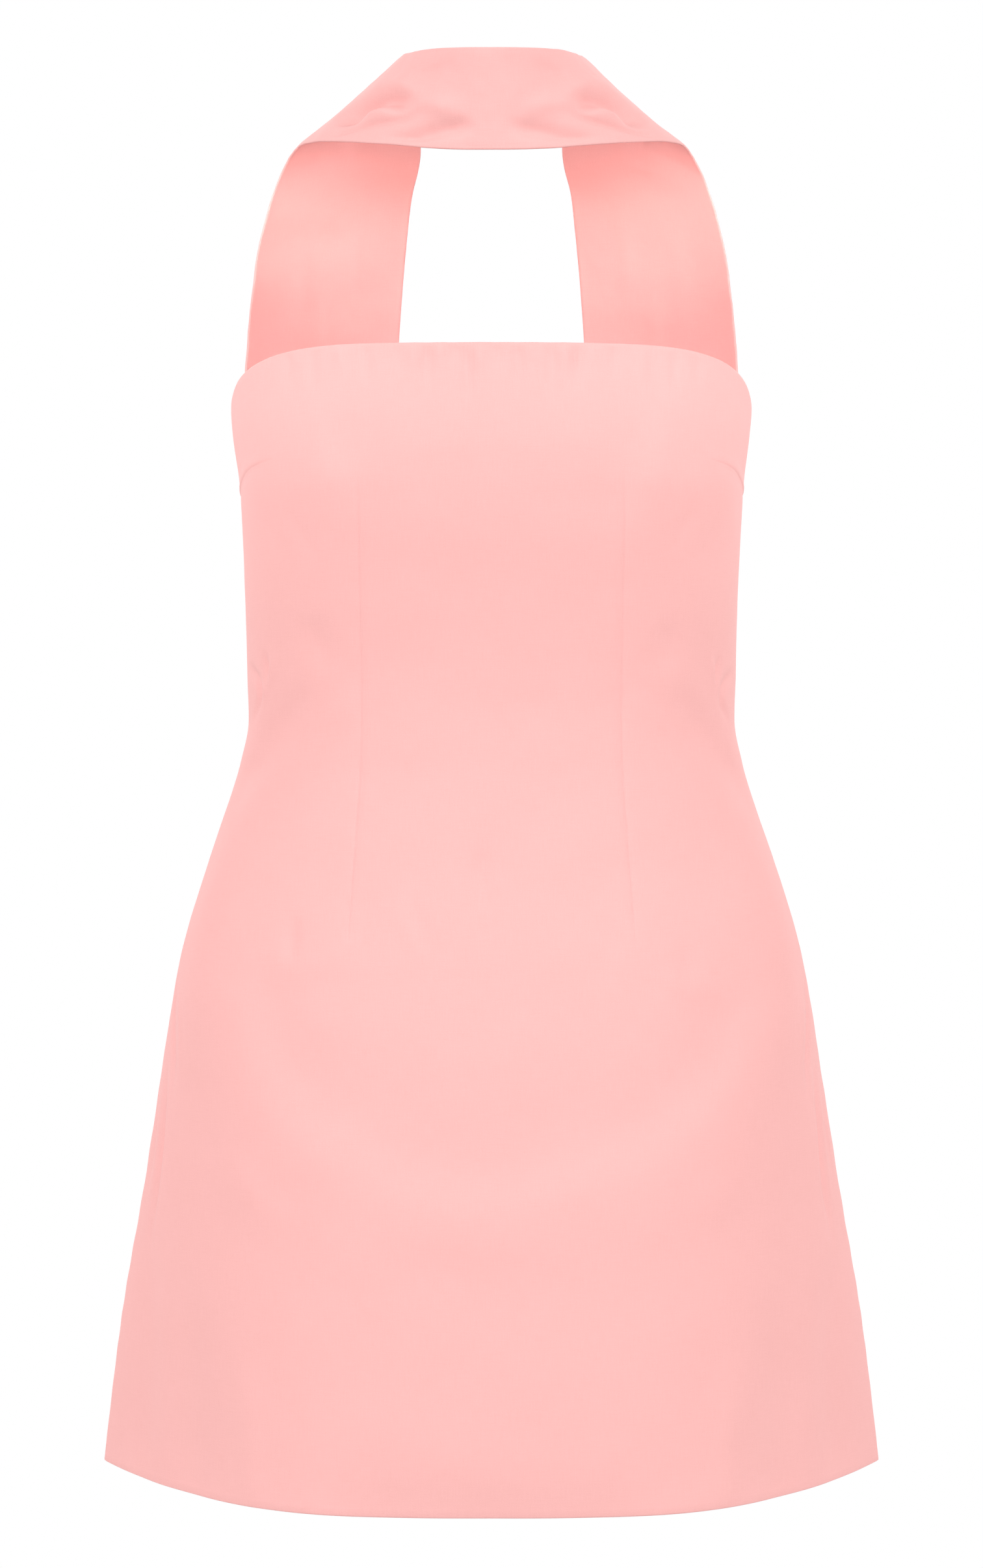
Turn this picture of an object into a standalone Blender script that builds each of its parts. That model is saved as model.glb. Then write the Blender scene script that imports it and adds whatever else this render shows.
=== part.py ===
"""A strapless mini dress with a wide scarf band round the neck, in the hollow form it takes when worn.

The front is one panel with two long darts and two bust darts. The back is two panels joined by a
concealed zip. The scarf band crosses the front of the neck, goes over both shoulders and is sewn
inside the back's top edge. +Z is up and the front faces -Y. The origin is in the middle of the
neck loop, where the band rests on the wearer. Heights below are measured from the top edge at the
centre front, and the whole object is lowered by NECK_HEIGHT when it is made.
"""

import math
from collections import namedtuple

import bmesh
import bpy
from mathutils import Matrix, Vector

MM = 0.001  # every size and table below is in millimetres

# ---------------------------------------------------------------- driving sizes
NECK_HEIGHT = 160.0  # from the top edge at the centre front up to the middle of the neck loop
PANEL_THICKNESS = 1.6
SCARF_THICKNESS = 2.0
SEAM_GAP = 0.3
STRAP_GAP = 0.5  # between a sewn strap end and the inside of the back panel

HEM_CENTRE = -686.5  # height of the hem at the centre front and centre back
HEM_SIDE_LIFT = 11.5  # how much higher the hem is at the side seams
TOP_SIDE_DIP = 32.0  # how far the front's top edge drops to the underarm
TOP_DIP_START = 20.0  # bearing where that drop begins, in degrees from the centre front
BACK_TOP = -34.0  # height of the back's top edge beside the zip

# ---------------------------------------------------------------- zip
ZIP_END = -400.0
ZIP_OPENING = 1.4  # between the two folded back edges along the zip
TAPE_THICKNESS = 1.0
TAPE_GAP = 0.4  # between a tape and the inside of the back panel
TAPE_INNER_EDGE = 1.5
TAPE_OUTER_EDGE = 13.0
TAPE_TOP = -37.0
TAPE_END = -406.0
SLIDER_HEIGHT = -46.0  # middle of the slider when the zip is closed
SLIDER_BODY = (8.4, 2.6, 11.0)  # behind the tapes: width, thickness and height
SLIDER_BODY_GAP = 0.4  # between the tapes and that body
BRIDGE_WIDTH = 0.8  # the bridge stands through the slit and carries the pull
BRIDGE_LENGTH = 7.4
BRIDGE_FOOT = 0.6  # how far the foot of the bridge's window is outside the cloth
BRIDGE_BAR = 1.0
WINDOW_LENGTH = 5.6
WINDOW_HEIGHT = 1.6
PULL_THICKNESS = 1.0
PULL_CROSSBAR = 0.9  # the crossbar lies in the bridge's window, and its middle line is the hinge
PULL_EYE_HALF_WIDTH = 1.3
PULL_EYE_LENGTH = 5.2

# The pull's outline: how far below the hinge, and half its width there.
PullPoint = namedtuple("PullPoint", "below half_width")
PULL_OUTLINE = [
    PullPoint(-0.45, 2.1),
    PullPoint(5.2, 2.1),
    PullPoint(8.0, 1.6),
    PullPoint(13.0, 1.8),
    PullPoint(17.0, 2.3),
    PullPoint(19.4, 2.3),
    PullPoint(20.9, 1.7),
    PullPoint(21.6, 0.7),
]

# ---------------------------------------------------------------- the worn form, in level sections
# A section's front half is |x / half_width|^flat + |y / depth|^corner = 1. A larger flat makes the
# middle flatter, and a smaller corner makes the side seam a sharper edge.
Section = namedtuple(
    "Section", "height half_width front back front_flat front_corner back_flat back_corner"
)
SECTIONS = [
    Section(45.0, 162.4, 104.0, 98.5, 2.7, 2.1, 2.8, 2.8),  # over the shoulder blades
    Section(0.0, 161.0, 110.0, 98.5, 2.7, 2.1, 2.8, 2.8),  # top edge, centre front
    Section(-26.0, 160.2, 115.5, 98.0, 2.7, 2.1, 2.8, 2.8),
    Section(-46.0, 158.7, 118.5, 97.0, 2.6, 2.2, 2.7, 2.7),  # underarm
    Section(-77.0, 154.6, 120.5, 94.5, 2.5, 2.2, 2.6, 2.6),  # bust
    Section(-96.0, 153.4, 119.0, 92.0, 2.4, 2.2, 2.5, 2.5),
    Section(-146.0, 151.3, 110.5, 85.5, 2.4, 2.2, 2.4, 2.4),
    Section(-196.0, 149.8, 103.0, 79.0, 2.4, 2.2, 2.3, 2.3),
    Section(-219.0, 149.2, 101.5, 77.5, 2.4, 2.2, 2.3, 2.3),  # waist
    Section(-246.0, 154.0, 102.0, 80.0, 2.4, 2.1, 2.3, 2.3),
    Section(-306.0, 173.4, 108.0, 99.0, 2.4, 2.0, 2.3, 2.2),
    Section(-366.0, 191.0, 118.0, 118.0, 2.5, 1.9, 2.4, 2.1),  # hip
    Section(-426.0, 201.3, 128.0, 126.5, 2.6, 1.7, 2.5, 1.8),
    Section(-506.0, 214.0, 137.5, 130.5, 2.7, 1.45, 2.7, 1.55),
    Section(-586.0, 227.6, 141.5, 133.5, 2.9, 1.2, 2.8, 1.3),
    Section(-675.0, 238.0, 142.5, 136.0, 3.0, 1.0, 3.0, 1.05),  # hem at the side seam
    Section(-700.0, 240.4, 143.0, 137.0, 3.0, 1.0, 3.0, 1.05),
]

# ---------------------------------------------------------------- darts
# Where a long dart lies across the panel, as the distance x from the middle at a few heights.
DartPoint = namedtuple("DartPoint", "height x")
FRONT_DART = [
    DartPoint(0.0, 79.0),
    DartPoint(-71.0, 78.6),
    DartPoint(-216.0, 77.2),
    DartPoint(-364.0, 85.7),
    DartPoint(-700.0, 103.0),
]
FRONT_DART_TOP, FRONT_DART_END = -71.0, -364.0
BACK_DART = [
    DartPoint(0.0, 74.0),
    DartPoint(-216.0, 72.0),
    DartPoint(-345.0, 82.0),
    DartPoint(-700.0, 104.0),
]
BACK_DART_TOP, BACK_DART_END = -95.0, -345.0
DART_GROOVE = 1.1
DART_GROOVE_HALF_WIDTH = 2.6

# ---------------------------------------------------------------- folds in the panels
# A fold is a soft trough that runs from one bearing and height to another. A bearing is in degrees
# round the body: 0 is the centre front, 90 the side seam, 180 the centre back.
Fold = namedtuple("Fold", "from_bearing from_height to_bearing to_height depth half_width")
FRONT_FOLDS = [
    Fold(88.0, -79.0, 55.5, -66.0, 1.3, 3.5),  # bust dart
    Fold(67.0, -187.0, 80.0, -225.0, 2.4, 4.5),  # pinch in the waist
    Fold(83.0, -188.0, 69.0, -203.0, 1.6, 3.5),
    Fold(87.0, -385.0, 71.5, -455.0, 2.2, 5.0),  # drops from the hip
    Fold(79.0, -425.0, 72.0, -545.0, 2.6, 5.5),
    Fold(66.0, -545.0, 61.0, -640.0, 2.2, 8.0),
    Fold(50.0, -560.0, 44.0, -670.0, 2.0, 13.0),
]
BACK_FOLDS = [
    Fold(112.0, -192.0, 99.0, -224.0, 2.2, 4.5),
    Fold(122.0, -205.0, 140.0, -212.0, 1.4, 6.0),
    Fold(94.0, -388.0, 107.0, -462.0, 2.2, 5.0),
    Fold(102.0, -430.0, 109.0, -550.0, 2.4, 5.5),
    Fold(116.0, -545.0, 120.0, -650.0, 2.0, 9.0),
    Fold(134.0, -500.0, 139.0, -665.0, 2.4, 14.0),
]

# ---------------------------------------------------------------- the scarf band
# Half of the band, from the centre front over one shoulder to the back. Each row gives the band's
# neck edge and its shoulder edge, and how far its middle bulges away from the body between them.
Station = namedtuple("Station", "neck_x neck_y neck_z edge_x edge_y edge_z bulge")
SCARF_STATIONS = [
    Station(0.0, -64.0, 181.5, 0.0, -77.0, 119.2, 3.0),  # centre front
    Station(22.0, -59.0, 182.4, 32.0, -72.5, 120.5, 3.0),
    Station(41.5, -43.0, 184.4, 64.0, -57.0, 125.6, 2.5),
    Station(51.5, -24.0, 185.6, 90.0, -36.0, 130.5, 1.5),
    Station(54.8, -8.0, 187.2, 108.4, -12.0, 134.4, 0.2),
    Station(54.9, 7.0, 188.3, 117.8, 7.0, 135.5, -0.8),  # shoulder ridge
    Station(51.3, 27.0, 180.0, 124.5, 27.0, 132.5, 1.0),
    Station(46.8, 47.0, 160.5, 129.9, 38.5, 126.0, 4.0),
    Station(45.2, 64.0, 137.5, 135.6, 46.0, 114.0, 7.5),
    Station(50.8, 80.0, 114.0, 141.9, 51.0, 96.0, 10.5),
    Station(54.8, 91.0, 82.0, 147.9, 55.0, 71.0, 12.0),
]
# Lower down, the band lies on the form of the back: height, and x of its two edges.
StrapRow = namedtuple("StrapRow", "height neck_x edge_x")
STRAP_ROWS = [
    StrapRow(40.0, 58.3, 152.2),
    StrapRow(5.0, 60.2, 155.0),
    StrapRow(-26.0, 60.6, 155.2),
    StrapRow(-48.0, 60.6, 155.2),  # sewn end, inside the back panel
]
STRAP_TUCK_START = 0.0  # the band moves in from the body's outline below this height
STRAP_TUCK_END = -27.0

# Troughs in the front of the band, as lines in x and z seen from the front. They are repeated on
# the other side.
BandFold = namedtuple("BandFold", "from_x from_z to_x to_z depth half_width")
BAND_FOLDS = [
    BandFold(86.0, 151.0, 67.0, 157.5, 2.6, 5.0),
    BandFold(67.0, 157.5, 46.0, 151.0, 2.6, 5.0),
    BandFold(98.0, 136.0, 60.0, 140.5, 1.6, 3.5),
    BandFold(54.0, 131.0, 14.0, 144.5, 3.2, 8.0),
    BandFold(47.0, 168.0, 9.0, 176.5, 1.2, 7.0),
]

# ---------------------------------------------------------------- mesh density
CENTRE_COLUMNS = 8  # between the two front darts
SIDE_COLUMNS = 10  # from a dart to its side seam
BACK_CENTRE_COLUMNS = 5  # from the zip to the back dart
BACK_SIDE_COLUMNS = 9
PANEL_ROWS = 33
BACK_ROWS = 28
SCARF_STEP = 9.0  # millimetres between two rows across the band
SCARF_COLUMNS = 10
TAPE_COLUMNS = 2


def smooth_curve(knots, values, at):
    """The value at a place on a smooth curve through knots (rising) and values, with no overshoot."""
    if at <= knots[0]:
        return values[0]
    if at >= knots[-1]:
        return values[-1]
    last = len(knots) - 1
    rise = [(values[i + 1] - values[i]) / (knots[i + 1] - knots[i]) for i in range(last)]
    slope = [rise[0]] + [0.0] * (last - 1) + [rise[-1]]
    for i in range(1, last):
        if rise[i - 1] * rise[i] > 0:
            slope[i] = 2 * rise[i - 1] * rise[i] / (rise[i - 1] + rise[i])
    i = max(k for k in range(last) if knots[k] <= at)
    width = knots[i + 1] - knots[i]
    t = (at - knots[i]) / width
    return (
        values[i] * (1 + 2 * t) * (1 - t) ** 2
        + slope[i] * width * t * (1 - t) ** 2
        + values[i + 1] * t * t * (3 - 2 * t)
        + slope[i + 1] * width * t * t * (t - 1)
    )


def ease(t):
    """0 below 0, 1 above 1, and a smooth step between."""
    t = min(1.0, max(0.0, t))
    return t * t * (3 - 2 * t)


def column_of(table, name):
    """One column of a table that is sorted by falling height, turned to run upwards."""
    return [getattr(row, name) for row in reversed(table)]


def section_at(height):
    heights = column_of(SECTIONS, "height")
    sizes = [smooth_curve(heights, column_of(SECTIONS, f), height) for f in Section._fields[1:]]
    return Section(height, *sizes)


def dart_bearing(table, height, half_width):
    """Degrees from the middle line at which a long dart crosses this height."""
    x = smooth_curve(column_of(table, "height"), column_of(table, "x"), height)
    return math.degrees(math.asin(x / half_width))


# ---------------------------------------------------------------- the form's surface
def form_point(bearing, height):
    """The outer surface of the smooth worn form."""
    size = section_at(height)
    across = math.sin(math.radians(bearing))
    if abs(bearing) <= 90:
        depth, flat, corner = -size.front, size.front_flat, size.front_corner
    else:
        depth, flat, corner = size.back, size.back_flat, size.back_corner
    y = depth * max(0.0, 1 - abs(across) ** flat) ** (1 / corner)
    return Vector((size.half_width * across, y, height))


def form_normal(bearing, height):
    """The outward direction there. At a side seam it lies in the seam's own plane."""
    size = section_at(height)
    point = form_point(bearing, height)
    front = abs(bearing) <= 90
    depth = size.front if front else size.back
    flat = size.front_flat if front else size.back_flat
    corner = size.front_corner if front else size.back_corner
    x_share, y_share = abs(point.x) / size.half_width, abs(point.y) / depth
    out_x = math.copysign(flat / size.half_width * x_share ** (flat - 1), point.x)
    out_y = (-1 if front else 1) * corner / depth * y_share ** (corner - 1)
    step = 2.0
    slope = (form_point(bearing, height + step) - form_point(bearing, height - step)) / (2 * step)
    return Vector((out_x, out_y, -(out_x * slope.x + out_y * slope.y))).normalized()


def trough(along, across, depth, half_width):
    """Depth of a soft trough: full in the middle of its length, and fading to its ends."""
    if not 0 < along < 1:
        return 0.0
    return depth * math.sin(math.pi * along) ** 0.7 * math.exp(-((across / half_width) ** 2))


def place_on_line(point, start, end):
    """(share of the way from start to end, distance from that line), in the plane."""
    line = end - start
    along = (point - start).dot(line) / line.length_squared
    return along, (point - start - line * along).length


def fold_depth(folds, bearing, height, radius):
    """How far the folds push the cloth in at a place on the form."""
    here = Vector((math.radians(abs(bearing)) * radius, height))
    total = 0.0
    for fold in folds:
        start = Vector((math.radians(fold.from_bearing) * radius, fold.from_height))
        end = Vector((math.radians(fold.to_bearing) * radius, fold.to_height))
        along, across = place_on_line(here, start, end)
        total += trough(along, across, fold.depth, fold.half_width)
    return total


def top_edge(bearing):
    """Height of the top edge at a bearing."""
    turn = abs(bearing)
    if turn <= 90:
        return -TOP_SIDE_DIP * max(0.0, (turn - TOP_DIP_START) / (90 - TOP_DIP_START)) ** 3
    return -TOP_SIDE_DIP + (BACK_TOP + TOP_SIDE_DIP) * ease((turn - 90) / 60)


def hem_edge(bearing):
    """Height of the hem at a bearing."""
    return HEM_CENTRE + HEM_SIDE_LIFT * abs(math.sin(math.radians(bearing))) ** 3


def cloth_height(bearing, share):
    """Height of a row of the cloth, with share 0 at the top edge and 1 at the hem."""
    level = HEM_CENTRE * share
    near_top = 1 - ease(share / 0.2)
    near_hem = ease((share - 0.8) / 0.2)
    return level + top_edge(bearing) * near_top + (hem_edge(bearing) - HEM_CENTRE) * near_hem


# ---------------------------------------------------------------- solids from rows of points
def new_object(name, bm, material, sharp_angle=40):
    bmesh.ops.recalc_face_normals(bm, faces=bm.faces)
    mesh = bpy.data.meshes.new(name)
    bm.to_mesh(mesh)
    bm.free()
    mesh.shade_smooth()
    mesh.set_sharp_from_angle(angle=math.radians(sharp_angle))
    mesh.materials.append(material)
    obj = bpy.data.objects.new(name, mesh)
    bpy.context.scene.collection.objects.link(obj)
    return obj


def world(point):
    """A point of the tables, in metres from the object's origin."""
    return Vector((point.x, point.y, point.z - NECK_HEIGHT)) * MM


def wall_between(name, outer, inner, material):
    """A closed wall whose two faces are the grids of points outer and inner, in millimetres."""
    bm = bmesh.new()
    rows, columns = len(outer), len(outer[0])
    skins = [[[bm.verts.new(world(p)) for p in row] for row in grid] for grid in (outer, inner)]
    for skin in skins:
        for r in range(rows - 1):
            for c in range(columns - 1):
                bm.faces.new((skin[r][c], skin[r][c + 1], skin[r + 1][c + 1], skin[r + 1][c]))
    rim = [(0, c) for c in range(columns)]
    rim += [(r, columns - 1) for r in range(1, rows)]
    rim += [(rows - 1, c) for c in range(columns - 2, -1, -1)]
    rim += [(r, 0) for r in range(rows - 2, 0, -1)]
    for (r0, c0), (r1, c1) in zip(rim, rim[1:] + rim[:1]):
        bm.faces.new((skins[0][r0][c0], skins[0][r1][c1], skins[1][r1][c1], skins[1][r0][c0]))
    return new_object(name, bm, material)


def dart_groove(bearing, dart, height, top, end):
    """A dart's sewn line: the cloth is drawn in where the bearing is the dart's own."""
    if abs(abs(bearing) - dart) > 0.01:
        return 0.0
    run = (height - end) / (top - end)
    return DART_GROOVE * ease(run / 0.08) * ease((1 - run) / 0.08)


def panel(name, bearings_at, rows, folds, dart_table, dart_ends, seam_x, material):
    """A panel of the dress. bearings_at gives a row's bearings at a level. On a back panel, seam_x
    gives the distance from the middle plane of its edge beside the zip."""
    outer, inner = [], []
    for r in range(rows + 1):
        share = r / rows
        level = HEM_CENTRE * share
        half_width = section_at(level).half_width
        dart = dart_bearing(dart_table, level, half_width)
        outer_row, inner_row = [], []
        for bearing in bearings_at(level, dart, half_width):
            height = cloth_height(bearing, share)
            out = form_normal(bearing, height)
            from_middle = bearing if abs(bearing) <= 90 else 180 - abs(bearing)
            pull = fold_depth(folds, bearing, height, half_width)
            pull += dart_groove(from_middle, dart, height, *dart_ends)
            point = form_point(bearing, height)
            if abs(abs(bearing) - 90) < 0.001:  # the panels stop either side of the side seam
                point.y = SEAM_GAP / 2 * (1 if seam_x else -1)
                out = Vector((out.x, 0, out.z)).normalized()
            if seam_x and abs(point.x) <= seam_x(height) + 0.001:
                point.x = math.copysign(seam_x(height), point.x)
                out = Vector((0, out.y, out.z)).normalized()
            outer_row.append(point - out * pull)
            inner_row.append(point - out * (pull + PANEL_THICKNESS))
        outer.append(outer_row)
        inner.append(inner_row)
    return wall_between(name, outer, inner, material)


def spread(start, end, count):
    """count steps from start to end, without the start."""
    return [start + (end - start) * i / count for i in range(1, count + 1)]


def front_bearings(level, dart, half_width):
    beside = math.degrees(DART_GROOVE_HALF_WIDTH / half_width)
    near, far = dart - beside, dart + beside
    right = spread(0, near, CENTRE_COLUMNS // 2) + [dart, far] + spread(far, 90, SIDE_COLUMNS)
    return [-b for b in reversed(right)] + [0.0] + right


def back_bearings(side):
    """The bearings of the left (+1) or right (-1) back panel, from the zip to the side seam."""

    def at(level, dart, half_width):
        beside = math.degrees(DART_GROOVE_HALF_WIDTH / half_width)
        edge = math.degrees(math.asin(zip_edge(level) / half_width))
        near, far = dart - beside, dart + beside
        row = [edge] + spread(edge, near, BACK_CENTRE_COLUMNS) + [dart, far]
        row += spread(far, 90, BACK_SIDE_COLUMNS)
        return [side * (180 - b) if b < 90 else side * 90.0001 for b in row]

    return at


def zip_edge(height):
    """Half the width of the slit between the back panels."""
    closed = ease((height - ZIP_END) / 20)
    return SEAM_GAP / 2 + (ZIP_OPENING - SEAM_GAP) / 2 * closed


# ---------------------------------------------------------------- the scarf band
def free_point(station, share):
    """A point across the band where it hangs free, with share 0 at the neck edge. Its fourth number
    is how far the cloth bulges away from the body there."""
    neck = Vector((station.neck_x, station.neck_y, station.neck_z))
    edge = Vector((station.edge_x, station.edge_y, station.edge_z))
    return Vector((*neck.lerp(edge, share), station.bulge * 4 * share * (1 - share)))


def laid_point(row, share):
    """A point across the band where it lies on the back, or just inside the panel at its end."""
    x = row.neck_x + (row.edge_x - row.neck_x) * share
    tuck = ease((STRAP_TUCK_START - row.height) / (STRAP_TUCK_START - STRAP_TUCK_END))
    inset = (PANEL_THICKNESS + STRAP_GAP) * tuck
    half_width = section_at(row.height).half_width
    reach = x
    for _ in range(4):  # the inset moves the point in x too, so the bearing is found in turns
        bearing = 180 - math.degrees(math.asin(reach / half_width))
        normal = form_normal(bearing, row.height)
        reach = x + inset * normal.x
    point = form_point(bearing, row.height) - normal * inset
    return Vector((point.x, point.y, row.height, 0.0))


def smooth_path(points, places, i, t):
    """A point between points i and i + 1 of a smooth path, with t from 0 to 1."""

    def tangent(k):
        before, after = max(k - 1, 0), min(k + 1, len(points) - 1)
        return (points[after] - points[before]) / (places[after] - places[before])

    width = places[i + 1] - places[i]
    return (
        points[i] * ((1 + 2 * t) * (1 - t) ** 2)
        + tangent(i) * (width * t * (1 - t) ** 2)
        + points[i + 1] * (t * t * (3 - 2 * t))
        + tangent(i + 1) * (width * t * t * (t - 1))
    )


def mirrored(point):
    return Vector((-point[0], *point[1:]))


def scarf_rows():
    """Rows of points across the band, from one sewn end round the neck to the other."""
    lines = []
    for c in range(SCARF_COLUMNS + 1):
        share = c / SCARF_COLUMNS
        half = [free_point(station, share) for station in SCARF_STATIONS]
        half += [laid_point(row, share) for row in STRAP_ROWS]
        lines.append([mirrored(p) for p in reversed(half[1:])] + half)
    middle = lines[SCARF_COLUMNS // 2]
    places = [0.0]
    for a, b in zip(middle, middle[1:]):
        places.append(places[-1] + (b.to_3d() - a.to_3d()).length)
    rows = []
    for i in range(len(middle) - 1):
        steps = max(1, round((places[i + 1] - places[i]) / SCARF_STEP))
        rows += [[smooth_path(line, places, i, s / steps) for line in lines] for s in range(steps)]
    return rows + [[line[-1] for line in lines]]


def band_fold_depth(point):
    """How far the folds press the front of the band in."""
    if point.y > -5:
        return 0.0
    here = Vector((abs(point.x), point.z))
    total = 0.0
    for fold in BAND_FOLDS:
        start, end = Vector((fold.from_x, fold.from_z)), Vector((fold.to_x, fold.to_z))
        along, across = place_on_line(here, start, end)
        total += trough(along, across, fold.depth, fold.half_width)
    return total


def row_normal(rows, r, c):
    """The direction away from the body at a point of the band."""
    along = rows[min(r + 1, len(rows) - 1)][c] - rows[max(r - 1, 0)][c]
    across = rows[r][min(c + 1, SCARF_COLUMNS)] - rows[r][max(c - 1, 0)]
    return across.to_3d().cross(along.to_3d()).normalized()


def scarf_band(material):
    rows = scarf_rows()
    outer, inner = [], []
    for r, row in enumerate(rows):
        outer.append([])
        inner.append([])
        for c, point in enumerate(row):
            out = row_normal(rows, r, c)
            place = point.to_3d()
            shift = point.w - band_fold_depth(place)
            outer[-1].append(place + out * shift)
            inner[-1].append(place + out * (shift - SCARF_THICKNESS))
    return wall_between("scarf_band", outer, inner, material)


# ---------------------------------------------------------------- the zip
def zip_tape(side, material):
    """One woven tape, sewn inside the back panel beside the slit. side is +1 or -1."""
    levels = [cloth_height(180, r / BACK_ROWS) for r in range(BACK_ROWS)]
    heights = [TAPE_TOP] + [h for h in levels if TAPE_END + 5 < h < TAPE_TOP - 5] + [TAPE_END]
    outer, inner = [], []
    for height in heights:
        half_width = section_at(height).half_width
        outer.append([])
        inner.append([])
        for c in range(TAPE_COLUMNS + 1):
            x = TAPE_INNER_EDGE + (TAPE_OUTER_EDGE - TAPE_INNER_EDGE) * c / TAPE_COLUMNS
            bearing = 180 - math.degrees(math.asin(x / half_width))
            face = form_point(bearing, height).y - PANEL_THICKNESS - TAPE_GAP
            outer[-1].append(Vector((side * x, face, height)))
            inner[-1].append(Vector((side * x, face - TAPE_THICKNESS, height)))
    name = "zip_tape_left" if side > 0 else "zip_tape_right"
    return wall_between(name, outer, inner, material)


def cloth_face_at_slider():
    """y of the back's outer face beside the slider."""
    return form_point(180, SLIDER_HEIGHT).y


def block(bm, low, high):
    """A box between two corners, in millimetres."""
    size = [(h - l) * MM for l, h in zip(low, high)]
    middle = [(h + l) / 2 * MM for l, h in zip(low, high)]
    place = Matrix.Translation(middle) @ Matrix.Diagonal((*size, 1))
    bmesh.ops.create_cube(bm, size=1, matrix=place)


def zip_slider(material):
    """The slider's body behind the tapes, and the bridge that stands out through the slit. It is made
    about the middle of the bridge's window, which lies on the hinge of the pull."""
    hinge = BRIDGE_FOOT + WINDOW_HEIGHT / 2
    tape_back = PANEL_THICKNESS + TAPE_GAP + TAPE_THICKNESS
    width, depth, height = SLIDER_BODY
    body_face = -hinge - tape_back - SLIDER_BODY_GAP
    window_foot, window_top = -WINDOW_HEIGHT / 2, WINDOW_HEIGHT / 2
    half_bridge, half_window = BRIDGE_LENGTH / 2, WINDOW_LENGTH / 2

    bm = bmesh.new()
    block(bm, (-width / 2, body_face - depth, -height / 2), (width / 2, body_face, height / 2))
    bmesh.ops.bevel(bm, geom=bm.edges[:], offset=0.6 * MM, segments=2, affect="EDGES")
    slider = new_object("zip_slider", bm, material)

    bm = bmesh.new()
    top = window_top + BRIDGE_BAR
    outline = [
        (body_face - 1, -half_bridge),
        (top - 0.5, -half_bridge),
        (top, -half_bridge + 0.6),
        (top, half_bridge - 0.6),
        (top - 0.5, half_bridge),
        (body_face - 1, half_bridge),
    ]
    near = [bm.verts.new((-BRIDGE_WIDTH / 2 * MM, y * MM, z * MM)) for y, z in outline]
    side = bm.faces.new(near)
    made = bmesh.ops.extrude_face_region(bm, geom=[side])["geom"]
    moved = [v for v in made if isinstance(v, bmesh.types.BMVert)]
    bmesh.ops.translate(bm, vec=(BRIDGE_WIDTH * MM, 0, 0), verts=moved)
    bridge = new_object("bridge_shape", bm, material)

    bm = bmesh.new()
    block(bm, (-1, window_foot, -half_window), (1, window_top, half_window))
    window = new_object("window_shape", bm, material)

    for name, shape, operation in (("bridge", bridge, "UNION"), ("window", window, "DIFFERENCE")):
        cut = slider.modifiers.new(name, "BOOLEAN")
        cut.operation = operation
        cut.object = shape
        cut.solver = "EXACT"
        shape.hide_render = True
        shape.display_type = "WIRE"
    hinge_point = world(Vector((0, cloth_face_at_slider() + hinge, SLIDER_HEIGHT)))
    for obj in (slider, bridge, window):
        obj.location = hinge_point
    return hinge_point


def zip_pull(hinge_point, material):
    """The pull tab. Its eye goes round the bridge, and it hangs from its crossbar."""
    top = PULL_CROSSBAR / 2
    eye_foot = -PULL_EYE_LENGTH
    right = [(p.half_width, -p.below) for p in PULL_OUTLINE]
    outline = [(-x, z) for x, z in right] + [(x, z) for x, z in reversed(right)]
    eye = [
        (-PULL_EYE_HALF_WIDTH, -top),
        (-PULL_EYE_HALF_WIDTH, eye_foot),
        (PULL_EYE_HALF_WIDTH, eye_foot),
        (PULL_EYE_HALF_WIDTH, -top),
    ]
    bm = bmesh.new()
    for loop in (outline, eye):
        verts = [bm.verts.new((x * MM, -PULL_THICKNESS / 2 * MM, z * MM)) for x, z in loop]
        for a, b in zip(verts, verts[1:] + verts[:1]):
            bm.edges.new((a, b))
    bmesh.ops.triangle_fill(bm, edges=bm.edges[:], use_beauty=True)
    made = bmesh.ops.extrude_face_region(bm, geom=bm.faces[:])["geom"]
    moved = [v for v in made if isinstance(v, bmesh.types.BMVert)]
    bmesh.ops.translate(bm, vec=(0, PULL_THICKNESS * MM, 0), verts=moved)
    pull = new_object("zip_pull", bm, material)
    pull.location = hinge_point
    return pull


def material(name, colour, roughness, metallic=0.0):
    made = bpy.data.materials.new(name)
    made.use_nodes = True
    shader = made.node_tree.nodes["Principled BSDF"]
    shader.inputs["Base Color"].default_value = (*colour, 1)
    shader.inputs["Roughness"].default_value = roughness
    shader.inputs["Metallic"].default_value = metallic
    return made


def main():
    for obj in list(bpy.data.objects):
        bpy.data.objects.remove(obj)
    cloth = material("pink_cloth", (0.99, 0.55, 0.53), 0.85)
    tape = material("pink_zip_tape", (0.97, 0.50, 0.48), 0.9)
    enamel = material("pink_enamel", (0.94, 0.42, 0.40), 0.35, 0.3)

    panel(
        "front_panel",
        front_bearings,
        PANEL_ROWS,
        FRONT_FOLDS,
        FRONT_DART,
        (FRONT_DART_TOP, FRONT_DART_END),
        None,
        cloth,
    )
    for name, side in (("back_panel_left", 1), ("back_panel_right", -1)):
        panel(
            name,
            back_bearings(side),
            BACK_ROWS,
            BACK_FOLDS,
            BACK_DART,
            (BACK_DART_TOP, BACK_DART_END),
            zip_edge,
            cloth,
        )
    scarf_band(cloth)
    for side in (1, -1):
        zip_tape(side, tape)
    hinge_point = zip_slider(enamel)
    zip_pull(hinge_point, enamel)


main()
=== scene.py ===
import math
from collections import namedtuple

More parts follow.
